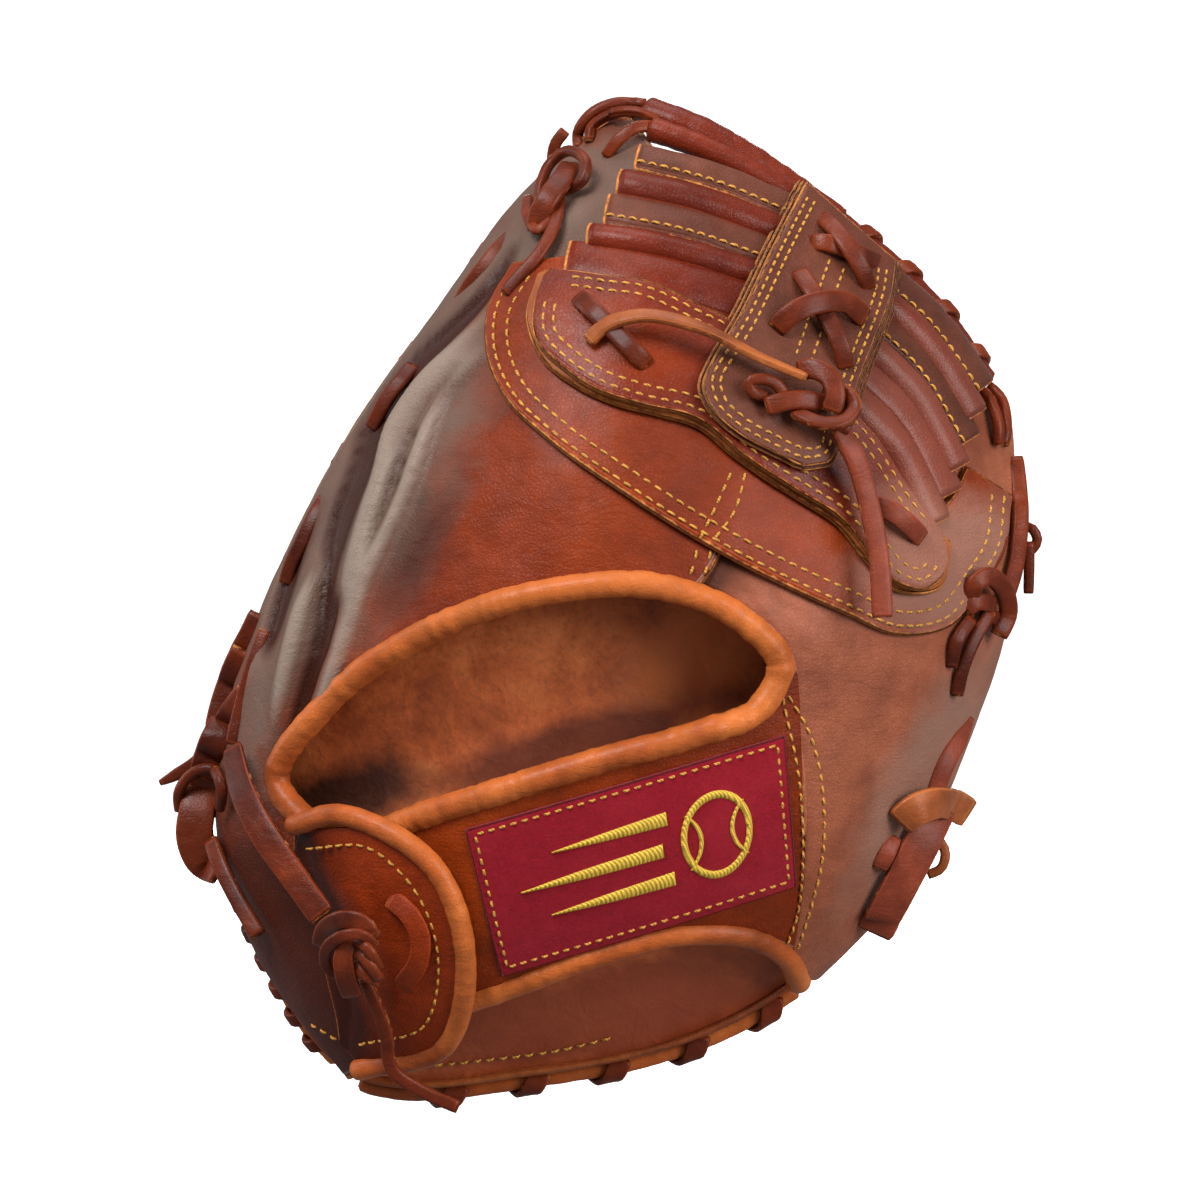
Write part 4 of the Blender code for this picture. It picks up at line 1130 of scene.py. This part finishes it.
def fold_strip(first, last, width, bow, lift, height, flat):
    """A strip of folded leather between two ends: thick along one edge, flat along the other."""
    path = smooth_curve([first, bowed_middle(first, last, bow), last], 30)
    aside = leftward(path) * width / 2
    u, v, over, grid, ring = grid_over(between(path - aside, path + aside), (90, 20))
    crown = np.sin(math.pi * v) ** (0.28 if flat else 0.6) * (1.1 - 0.2 * v)
    ends = smooth_step(u, 0.0, 0.05) * (1 - smooth_step(u, 0.97, 1.0))
    rise = height * crown * (0.6 + 0.4 * ends) + 0.3 * rumple_over(over, 9, height, 2)
    foot = foot_of(back, over, lift + height / 2)
    normals = normals_of(back, foot)
    base = at_depth(foot, back(foot))
    top = base + (lift + 0.5 + rise)[:, None] * normals
    under = base + (lift + 0.25 - 0.55 * rise)[:, None] * normals
    faces = closed_skin(over, grid, [ring, ring + grid.size])
    edge = np.maximum(0.8 * (v < 0.03), 0.9 * ((u < 0.012) | (u > 0.99)))
    return np.vstack([top, under]), faces, np.concatenate([edge, edge])


def make_web_shade_sheets():
    """Dark leather put behind the strips as painted shade, so that the gaps between them stay dark and no
    light comes through.
    """
    sides = {
        "finger": ([(32, 161), (52, 155), (72, 148)], [(14, 122), (40, 112), (62, 104)]),
        "thumb": ([(104, 126), (120, 110), (134, 92)], [(94, 88), (105, 70), (116, 50)]),
    }
    for side, (upper, lower) in sides.items():
        body = sheet(between(upper, lower), back, 0.6, 1.6, (40, 30))
        add(f"web_shade_sheet_{side}", body, SPINE_PAINT, f"{side}_side")


def make_strips():
    """Folded strips fill the web on each side of the middle strap; every second one is stitched.

    The last strip on each side stands for no node.
    """
    left = [((31, 159.5), (77, 144.5), 7.6), ((25.5, 152), (74, 138), 8.6), ((22, 143.5), (71, 130.5), 9.6),
            ((16.5, 136), (67, 124), 7.8), ((10.5, 128), (63, 115.5), 12.5)]
    right = [((96, 131), (134, 92), 8.4), ((97, 123.5), (132, 84), 8.6), ((96.5, 115.5), (129, 76), 8.6),
             ((95.5, 107.5), (126, 68), 8.6), ((94, 99), (123, 60), 8.6), ((91, 91), (119, 51.5), 10)]
    sides = {"finger": (left, (0.6, 1.4)), "thumb": (right, (3.0, 2.0))}
    seams = {"finger": [], "thumb": []}
    for side, (strips, bow) in sides.items():
        for i, (first, last, width) in enumerate(strips):
            flat = i % 2 == 0
            lift = STRIP_LIFT - 0.5 * i
            height = 2.3 if flat else 3.9
            body = fold_strip(first, last, width, bow, lift, height, flat)
            stands_for = [f"web_strip_{side}_{i + 1}"] if i < len(strips) - 1 else []
            stitched_strip = flat and i < 4
            add(f"web_fold_{side}_{i + 1}", body, SPINE_PAINT if stitched_strip else WEB_PAINT,
                f"{side}_side", stands_for)
            if stitched_strip:
                middle = [first, bowed_middle(first, last, bow), last]
                seams[side].append(seam(offset_curve(middle, -0.22 * width), lift + 0.5 + height))
    make_web_shade_sheets()
    for side, rows in seams.items():
        add(f"web_fold_stitching_{side[0]}", stitched(rows, 3.4), THREAD_PAINT, f"{side}_side")


def make_top_strap():
    left = [(34, 175), (50, 168.5), (66, 159.5), (79, 150.5), (92, 141)]
    lower_left = [(35, 168.5), (52, 162), (68, 153.5), (84, 143)]
    right = [(88, 144), (106, 129.5), (121, 114.5), (136, 94)]
    body = [roll_on_back(left, 4.6, 2.6, creases=0.08, squash=0.8),
            roll_on_back(lower_left, 3.8, 3.6, creases=0.08),
            roll_on_back(right, 3.6, 2.6, creases=0.08, squash=0.8),
            roll_on_back(offset_curve(right, -3.6, 4), 3.0, 3.0, creases=0.08)]
    add("web_top_roll", joined(body), WEB_PAINT, ACROSS_FOLD, ["web_top_finger", "web_top_thumb"])
    row = seam(offset_curve(right, -0.4), 5.4)
    add("web_top_stitching", stitched([row], 3.4), THREAD_PAINT, ACROSS_FOLD)


def strap_outline(inset):
    """The middle strap's two sides, from the top edge down to the rounded bottom."""
    left = [(79, 152.5), (68, 131), (58, 110.5), (50.5, 98), (47.5, 90), (50, 83), (58, 75), (70, 68.5)]
    right = [(109, 128), (107, 117), (102, 104), (97.5, 93), (94.5, 84), (91, 75), (87, 67), (79, 65)]
    if inset:
        left = offset_curve(left, inset, 30)
        right = offset_curve(right, -inset, 30)
    return left, right


def make_spine():
    layers = (("web_spine_under", SPINE_LIFT - 3.2, 0.0, 2.0, []),
              ("web_spine_layer", SPINE_LIFT, 1.2, SPINE_THICKNESS, ["web_spine_strap"]),
              ("web_spine_cover", SPINE_COVER_LIFT, 2.4, SPINE_THICKNESS, ["web_spine_facing"]))
    for name, lift, inset, thickness, stands_for in layers:
        body = sheet(between(*strap_outline(inset)), back, lift, thickness, (110, 60), folds([]))
        add(name, body, SPINE_PAINT, "web_spine", stands_for)


def make_spine_stitching():
    rows = []
    for inset in (4.4, 6.8):
        left, right = strap_outline(inset)
        outline = np.vstack([left[1:-1:3], right[-2:0:-3]])
        rows.append(seam(outline, SPINE_TOP, count=120))
    for shift in (0.0, 4.2):
        rows.append(seam([(87.3 + shift, 128.5 - 0.6 * shift), (81.8 + shift, 114 - 0.6 * shift),
                          (76.4 + shift, 99 - 0.6 * shift)], SPINE_TOP))
    add("web_spine_stitching", stitched(rows, 3.2, 2.3), THREAD_PAINT, "web_spine")


def make_web_laces():
    top = SPINE_TOP + 0.3
    shapes = [
        strand([(82, 133, top - 2), (86, 133, top + 1), (92, 131, top + 1.4), (98, 129, top + 1),
                (102, 128, top - 2)], width=5.2),
        strand([(85, 141, top - 2), (88, 138, top + 2.5), (93, 131, top + 4.4), (97, 124, top + 2),
                (98.5, 120, top - 2)], width=5.2),
        strand([(78, 124, top - 2), (81, 119, top + 1), (86, 110, top + 1.6), (90, 101, top + 1),
                (91, 96, top - 2)], width=5.2),
        strand([(71, 107, top - 2), (75, 111, top + 2), (83, 114.5, top + 4.4), (91, 115, top + 3),
                (97, 111, top - 1)], width=6.4),
    ]
    add_laces("web_cross_laces", shapes, "web_spine", ["web_cross_lace"])
    shapes = [
        strand([(68, 87, top), (63.5, 88.5, top + 2), (62.5, 91, top + 3), (66, 92, top + 4),
                (70.5, 90.6, top + 4), (73, 87.5, top + 3)], 3.2, 2.4),
        strand([(67.5, 84, top + 1), (73, 85.6, top + 3), (79, 86, top + 4), (85, 84.8, top + 3)], 5.4, 2.6),
        strand([(77, 94.6, top + 3), (81, 95, top + 6), (85.6, 92.6, top + 8), (87.4, 87.5, top + 8),
                (86, 82.5, top + 6)], 5.8, 2.6),
        strand([(76, 82.6, top + 2), (80, 80.4, top + 5), (85.5, 79.2, top + 7), (90.5, 80.4, top + 8),
                (93, 84, top + 8), (91.2, 88, top + 7), (87.5, 89.5, top + 4)], 4.4, 2.6, turn=(0.6, 0.6)),
        strand([(84, 88, top + 1), (88, 86, top + 4), (90.5, 82, top + 5), (89, 77, top + 4)], 5),
    ]
    add_laces("web_lace_knot", shapes, "web_spine", ["web_knot"])


def make_web_tail():
    route = [(88, 78), (93, 70), (97, 57), (100, 42), (101, 24)]
    tail = lifted(back, smooth_curve(route, 7), [20, 20, 18, 17, 16, 16, 16])
    cord_piece("web_tail_lace", smooth_curve(tail, 50), 6, 3.2, TAIL_PAINT, "web_tail", "web_spine")


def make_web_loop():
    controls = [(17, 103, 11), (21, 107, 13), (30, 110, 16), (48, 107, 19), (66, 98, 21), (79, 92.5, 22)]
    loop = strand(controls, 4.4, 2.4, turn=(0.4, 1.3))
    add_laces("web_loop", [loop], "web_spine", ["web_loop_lace"], KNOT_PAINT)


def make_crescent_laces():
    top = BAND_TOP + 6.0
    shape = strand([(14.2, 116, top - 2), (17.6, 112.8, top + 1), (24, 106.2, top + 1),
                    (30.4, 99.6, top + 1), (33.6, 96.4, top - 2)], width=5.4)
    add_laces("crescent_laces_finger", [shape], "finger_side")
    shape = strand([(99, 56, top - 2), (103, 55, top + 1), (110, 50, top + 1), (113, 47, top - 2)], width=6)
    add_laces("crescent_laces_thumb", [shape], "thumb_side", paint=TAIL_PAINT)


def make_web_seams(band, crescent):
    rows = [seam(offset_curve(band, inset), BAND_TOP, count=160) for inset in (2.2, 6.2)]
    top = CRESCENT_LIFTS[1] + CRESCENT_THICKNESS
    lower, upper = crescent
    rows += [seam(offset_curve(lower, inset)[2:-2], top, count=140) for inset in (2.6, 5.6)]
    rows += [seam(offset_curve(upper, -inset)[2:-2], top, count=140) for inset in (1.4, 4.0)]
    for shift in (0.0, 4.0):
        rows.append(seam([(58 + shift, 66), (52.5 + 1.5 * shift, 54), (48.5 + shift, 46)], BAND_TOP + 0.1))
        rows.append(seam([(48 + shift, 44), (47 + shift, 39), (45.5 + shift, 35)], LEATHER + 0.3))
    add("web_stitching", stitched(rows), THREAD_PAINT, ACROSS_FOLD)


# ---- Edges and their laces -------------------------------------------------------------------

LACE_REACH = WELT + 1.6  # of an edge lace, from the middle of its welt


def turned_outward(path):
    """Directions away from the middle of the mitt."""
    return unit(path - np.array([POCKET_CENTRE[0], RIM_Y, POCKET_CENTRE[1]]))


def make_edges():
    welts = {
        "heel_binding": ((79, -87), (-51, -114), "finger_side"),
        "finger_edge_welt": ((-59, -110), (30, 176), "finger_side"),
        "thumb_edge_welt": ((144, 60), (91, -76), "thumb_side"),
    }
    for name, (start, end, body) in welts.items():
        path = beside_rim(start, end, -1.5, 4, 120)
        if name == "heel_binding":
            path = rim_path(start, end, 120)
        shape = roll(path, turned_outward(path), WELT + 0.5, creases=0.07)
        add(name + "_roll", shape, ROLL_PAINT, body, [name])


def make_gussets():
    """Leather that closes the mitt's edge, from the back to the palm."""
    arcs = {
        "heel_gusset": ((79, -84), (-56, -112), "finger_side"),
        "finger_gusset": ((-55, -112), (36, 172), "finger_side"),
        "thumb_gusset": ((142, 66), (80, -86), "thumb_side"),
    }
    for name, (start, end, body) in arcs.items():
        path = beside_rim(start, end, -3.2, 0.5, 160)
        shape = roll(path, turned_outward(path), 9.5, creases=0.04, squash=0.2)
        add(name, shape, PALM_PAINT, body)


def whip(path, pitch, width):
    """Laces that wind over a welt, slanting as they go from the back leather to the palm."""
    fine, travelled, _ = fine_curve(path)
    turns = max(1, round(travelled[-1] / pitch))
    shapes = []
    for i in range(turns):
        slant = min(pitch, 16) * np.linspace(0, 0.75, 17)
        centre = along_curve(fine, travelled, (i + 0.15) * travelled[-1] / turns + slant)
        forward = unit(np.gradient(centre, axis=0))
        depth = unit(np.array([0.0, 1.0, 0.0]) - forward * forward[:, 1:2])
        outward = np.cross(forward, depth)
        angle = np.linspace(-0.6, 1.2 * math.pi, 17)[:, None]
        wind = np.sin(angle) * outward - np.cos(angle) * depth
        far = LACE_REACH * (1 - 0.3 * np.abs(angle / math.pi - 0.5) ** 2)
        shapes.append(lace(centre + far * wind, unit(wind), width, 2.0))
    return shapes


def make_edge_laces():
    over_top = smooth_curve([(93, 140), (106, 129.5), (121, 114.5), (136, 94)], 60)
    laces = {
        "heel_lace": (rim_path((76, -89), (-40, -112), 80), 25, "finger_side", 6.5),
        "heel_corner_lace": (beside_rim((-62, -107), (-90, -58), -2, 1, 60), 10, "finger_side", 4.2),
        "finger_edge_lace": (beside_rim((-80, 30), (2, 151), -3, 7, 80), 40, "finger_side", 6.0),
        "web_edge_lace": (lifted(back, over_top, np.full(60, 2.4)), 15, "thumb_side", 4.4),
    }
    for name, (path, pitch, body, width) in laces.items():
        add_laces(name + "_turns", whip(path, pitch, width), body, [name])
    shapes = [
        strand([(-5, 137, -3), (-9, 133, 0), (-14, 127, 1), (-18, 122, 0), (-21, 117, -3)], width=4.5),
        strand([(-35, 98, -3), (-38, 94, 0), (-42, 89, 1), (-45, 84, 0), (-47, 80, -3)], width=4.5),
        strand([(-61, 59, -3), (-64, 54, 0), (-68, 46, 1), (-71, 40, 0), (-73, 34, -3)], width=4.5),
    ]
    add_laces("finger_fold_laces", shapes, "finger_side")


def make_little_finger_laces():
    shapes = [
        strand([(-81, 25, 1), (-84, 19, 3), (-88, 12, 4), (-91, 6, 4)], 6.5),
        strand([(-86, 14, 2), (-90, 6, 4), (-93, -3, 5), (-94.5, -10, 6)], 7.5),
        strand([(-79, 20, 0), (-83, 9, 2), (-86.5, -3, 2), (-89, -14, 3)], 4),
        strand([(-85, 2, 0), (-90, -4, 3), (-94, -10, 4)]),
    ]
    add_laces("little_finger_laces", shapes, "finger_side", ["little_finger_lace"])
    shapes = [
        strand([(-93.5, -6, 5), (-94.5, -12, 8), (-97, -19, 10), (-98.5, -24, 8)], 9, ends=(0.6, 1.0)),
        strand([(-99, -27, 6), (-100.5, -34.5, 10), (-101, -42, 11), (-98.5, -48.5, 10),
                (-93.5, -52.5, 6)], 11.4, 2.8, ends=(0.9, 0.7)),
        strand([(-106, -34, 9), (-105.8, -28.5, 12), (-102.5, -23.6, 13), (-98, -21.4, 13),
                (-93.7, -22.4, 12), (-91.8, -26.4, 10), (-92.6, -33, 7)], 3.2, 2.8),
        strand([(-97, -17, 6), (-103, -21, 7), (-108.5, -24.3, 7), (-112, -26, 6.5)], 3.8, ends=(1.3, 0.5)),
        strand([(-97, -21, 3), (-98, -28, 5), (-98.5, -36, 5)], 10),
    ]
    add_laces("little_finger_loops", shapes, "finger_side", ["little_finger_knot"])


def make_little_finger_tail():
    route = [(-96, 71, -43), (-93, 66, -50), (-88.5, 62, -58.5), (-81, 57, -70.5)]
    cord_piece("little_finger_tail_lace", smooth_curve(route, 40), 5, 2.6, LACE_PAINT, "little_finger_tail",
               "finger_side")


def make_fingertip_laces():
    loops = [
        strand([(14, 163, 0), (14, 169, 4), (18, 174, 6), (25, 177, 6), (34, 176.5, 3)], 3.4, 3),
        strand([(17, 165, 2), (18, 170, 6), (23, 173, 8), (31, 173.5, 7), (37, 171, 4)], 3, 3),
        strand([(22, 160, 1), (26, 165, 5), (31, 168.5, 6), (36, 169, 4)], 3.6, 2.2),
    ]
    add_laces("fingertip_loops", loops, "finger_side", ["fingertip_lace"])
    shapes = [
        strand([(2, 146, 3), (3, 152, 7), (6, 158.5, 10), (11, 161.5, 11), (16, 158, 10), (15.5, 152.5, 8),
                (10, 149, 5)], 3.2, 3),
        strand([(11.5, 157, 5), (9, 152, 9), (5.5, 147, 10), (2.5, 141.5, 7), (2, 137, 3)], 6.4, 2.8),
        strand([(-1, 148, 2), (-1, 142, 6), (2, 137, 7), (6, 140, 6), (8.5, 145.5, 4)], 3.2, 2.4),
        strand([(6, 160, 1), (7, 165, 3), (10, 169, 4)], 3.6, 1.6),
    ]
    add_laces("fingertip_knot_laces", shapes, "finger_side", ["fingertip_knot"])
    tail = strand([(8.5, 147, 5), (7, 138.5, 6), (2, 129, 6), (-3, 123.5, 5.6), (-7.5, 118, 5)], 3.8)
    add_laces("fingertip_tail_lace", [tail], "finger_side", ["fingertip_tail"])


def make_thumb_laces():
    shapes = [
        strand([(144, 71.4, 2), (145, 60, 4), (144.6, 48.7, 5), (142.2, 36, 6), (139.5, 29, 6)], 5.2, 3.0),
        strand([(136, 93, 1), (140, 89, 4), (141.4, 82, 5), (140.4, 75, 3)], 3.2, 3),
        strand([(133, 92, 1), (136.4, 87.6, 5), (138.4, 80.5, 6), (138.5, 75, 4)], 3.2, 3),
        strand([(145, 50.5, 5), (148.6, 50.6, 7), (150.6, 47, 7), (148.4, 43.6, 6), (146, 43.6, 5)], 3),
        strand([(148, 46.5, 8), (148.1, 39, 7), (148, 31, 6)], 3.2),
    ]
    add_laces("thumb_edge_laces", shapes, "thumb_side", ["thumb_lace"])
    shapes = [
        strand([(128.5, 29, 3), (130, 34, 7), (134, 36, 9), (138.3, 32.6, 10), (140.4, 25.5, 10),
                (137.5, 18.5, 8)], 5.6, 2.8),
        strand([(127, 26, 3), (131, 28.5, 6), (135.5, 27.5, 7)], 5),
        strand([(133, 26, 4), (137, 23.5, 6), (142.3, 23.3, 5)], 4.4, ends=(1.0, 0.6)),
        strand([(131, 36, 2), (136, 41, 3), (139, 48, 3)], 4.4),
    ]
    add_laces("thumb_knot_laces", shapes, "thumb_side", ["thumb_knot"])
    shapes = [strand([(134.5, 25.5, 7), (129.6, 17, 6), (126, 7.5, 5), (124.8, 1.3, 4)], 4),
              strand([(128.7, 23.5, 5), (124.4, 17.3, 5), (122.8, 9.8, 3)], 4)]
    add_laces("thumb_knot_tails", shapes, "thumb_side", ["thumb_knot_tail"])
    shapes = [
        strand([(108, -35.8, 3), (113, -32, 7), (119, -30.4, 9), (125, -31.6, 9.5), (129.6, -34.4, 8)],
               9.4, 2.8),
        strand([(121, -42, 3), (123.2, -46, 4), (122, -51, 4), (118, -53, 3)], 3),
    ]
    add_laces("thumb_strap_knot", shapes, "thumb_side", ["thumb_strap_loop"], KNOT_PAINT)
    shapes = [
        strand([(120.5, -31.5, 4), (117, -38, 6), (110.3, -51, 6.5), (101.3, -69, 5.5)], 11.3),
        strand([(130.4, -6, 2), (127, -11, 3), (122.5, -18, 4), (118.5, -28, 4)], 5.6, ends=(0.3, 1.0)),
        strand([(106.5, -40.5, 1), (104.5, -45, 3), (102, -49.5, 2)], 5),
    ]
    add_laces("thumb_strap_end", shapes, "thumb_side", ["thumb_strap_tail"], TAIL_PAINT)


def make_back_stitching():
    thumb = [[(71, 9), (73.5, -3), (77, -19), (78.6, -32), (79, -50), (78, -62), (74, -75)],
             [(74, 2), (80, -8), (83.5, -19), (85, -30), (84.8, -47), (82, -60), (78, -74)]]
    rows = [seam(controls, LEATHER + 0.5, count=90) for controls in thumb]
    add("thumb_seam_stitching", stitched(rows), THREAD_PAINT, ACROSS_FOLD)
    rows = [
        seam(offset_curve([(-66, -40), (-46, -39), (-32, -50), (-23, -75), (-29, -98), (-50, -105)], -3.4),
             FLAP_LIFT + LEATHER),
        seam([(-66, -97), (-56, -102.5), (-47, -106)], LEATHER + 0.2),
        seam([(-30, -110), (-13, -108), (8, -105), (24, -101)], 0.8, lining),
    ]
    add("wrist_stitching", stitched(rows), THREAD_PAINT, "finger_side")


def paint_kept_nodes():
    """The frame's own pads and stall show inside the mitt."""
    finishes = {"finger_stall": LINING_PAINT, "finger_pad": PAD_PAINT, "heel_pad": PAD_PAINT,
                "thumb_pad": PAD_PAINT, "pocket_pad": PAD_PAINT}
    for name, paint in finishes.items():
        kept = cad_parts[name]
        kept.data.materials.clear()
        kept.data.materials.append(paint)


# ---- Studio ----------------------------------------------------------------------------------

FLOOR_Z = -0.126
MIDDLE = (0.03, 0.02, 0.03)  # where the lights point
CAMERA_PLACE = (0.0203, -1.6, 0.029)
CAMERA_LENS = 167.6
LIGHTS = {  # place, size and power
    "key": ((-0.7, -1.2, 1.3), (0.8, 0.8), 42),
    "fill": ((1.4, -1.2, 0.4), (1.0, 1.2), 36),
    "top": ((0.1, 0.1, 1.6), (1.2, 0.8), 12),
    "left_rim": ((-1.3, 0.3, 0.5), (0.5, 1.2), 7),
    "palm_side": ((0.1, 2.2, 0.5), (0.8, 0.8), 20),
}
WORLD_STRENGTH = 0.28


def make_studio():
    """A round floor that curves up into a wall."""
    floor_radius, sweep_radius, height = 3.0, 0.5, 3.0
    turn = np.linspace(0, math.pi / 2, 17)
    profile = [(MM, 0.0)] + [(floor_radius + sweep_radius * math.sin(t), sweep_radius * (1 - math.cos(t)))
                             for t in turn] + [(floor_radius + sweep_radius, height)]
    around = np.linspace(0, 2 * math.pi, 96, endpoint=False)
    points = [(r * math.cos(a), r * math.sin(a), FLOOR_Z + z) for r, z in profile for a in around]
    data = bpy.data.meshes.new("studio_sweep")
    faces = grid_faces(len(profile), len(around), closed=True) + [list(range(len(around)))]
    data.from_pydata(points, [], faces)
    data.materials.append(STAGE_PAINT)
    data.shade_smooth()
    backdrop = bpy.data.objects.new("studio_sweep", data)
    bpy.context.scene.collection.objects.link(backdrop)
    backdrop.visible_diffuse = False  # so that the white paper doesn't wash out the leather
    backdrop.visible_glossy = False


def softbox(name, place, size, power):
    lamp = bpy.data.lights.new(name, "AREA")
    lamp.shape = "RECTANGLE"
    lamp.size, lamp.size_y = size
    lamp.energy = power
    holder = bpy.data.objects.new(name, lamp)
    holder.location = place
    holder.rotation_euler = (Vector(MIDDLE) - Vector(place)).to_track_quat("-Z", "Y").to_euler()
    bpy.context.scene.collection.objects.link(holder)


def make_lights():
    for name, (place, size, power) in LIGHTS.items():
        softbox(name, place, size, power)
    world = bpy.data.worlds.new("studio")
    world.use_nodes = True
    feed(world.node_tree, world.node_tree.nodes["Background"], Color=(1, 1, 1, 1), Strength=WORLD_STRENGTH)
    bpy.context.scene.world = world
    bpy.context.scene.view_settings.view_transform = "Standard"


def make_camera():
    lens = bpy.data.cameras.new("camera")
    lens.sensor_width = 36
    lens.lens = CAMERA_LENS
    holder = bpy.data.objects.new("camera", lens)
    holder.location = CAMERA_PLACE
    holder.rotation_euler = (math.pi / 2, 0, 0)
    bpy.context.scene.collection.objects.link(holder)
    bpy.context.scene.camera = holder


make_camera()
make_wrist_tail()
make_little_finger_tail()
make_web_tail()
make_finger_back()
make_thumb_back()
make_opening()
make_strap()
make_patch()
make_flap()
make_wrist_lace()
make_palm()
make_lining()
make_palm_stitching()
BAND_EDGE = make_web_base()
CRESCENT_EDGES = make_crescent()
make_strips()
make_top_strap()
make_spine()
make_spine_stitching()
make_web_laces()
make_web_loop()
make_crescent_laces()
make_web_seams(BAND_EDGE, CRESCENT_EDGES)
make_edges()
make_gussets()
make_edge_laces()
make_little_finger_laces()
make_fingertip_laces()
make_thumb_laces()
make_back_stitching()
paint_kept_nodes()
make_studio()
make_lights()
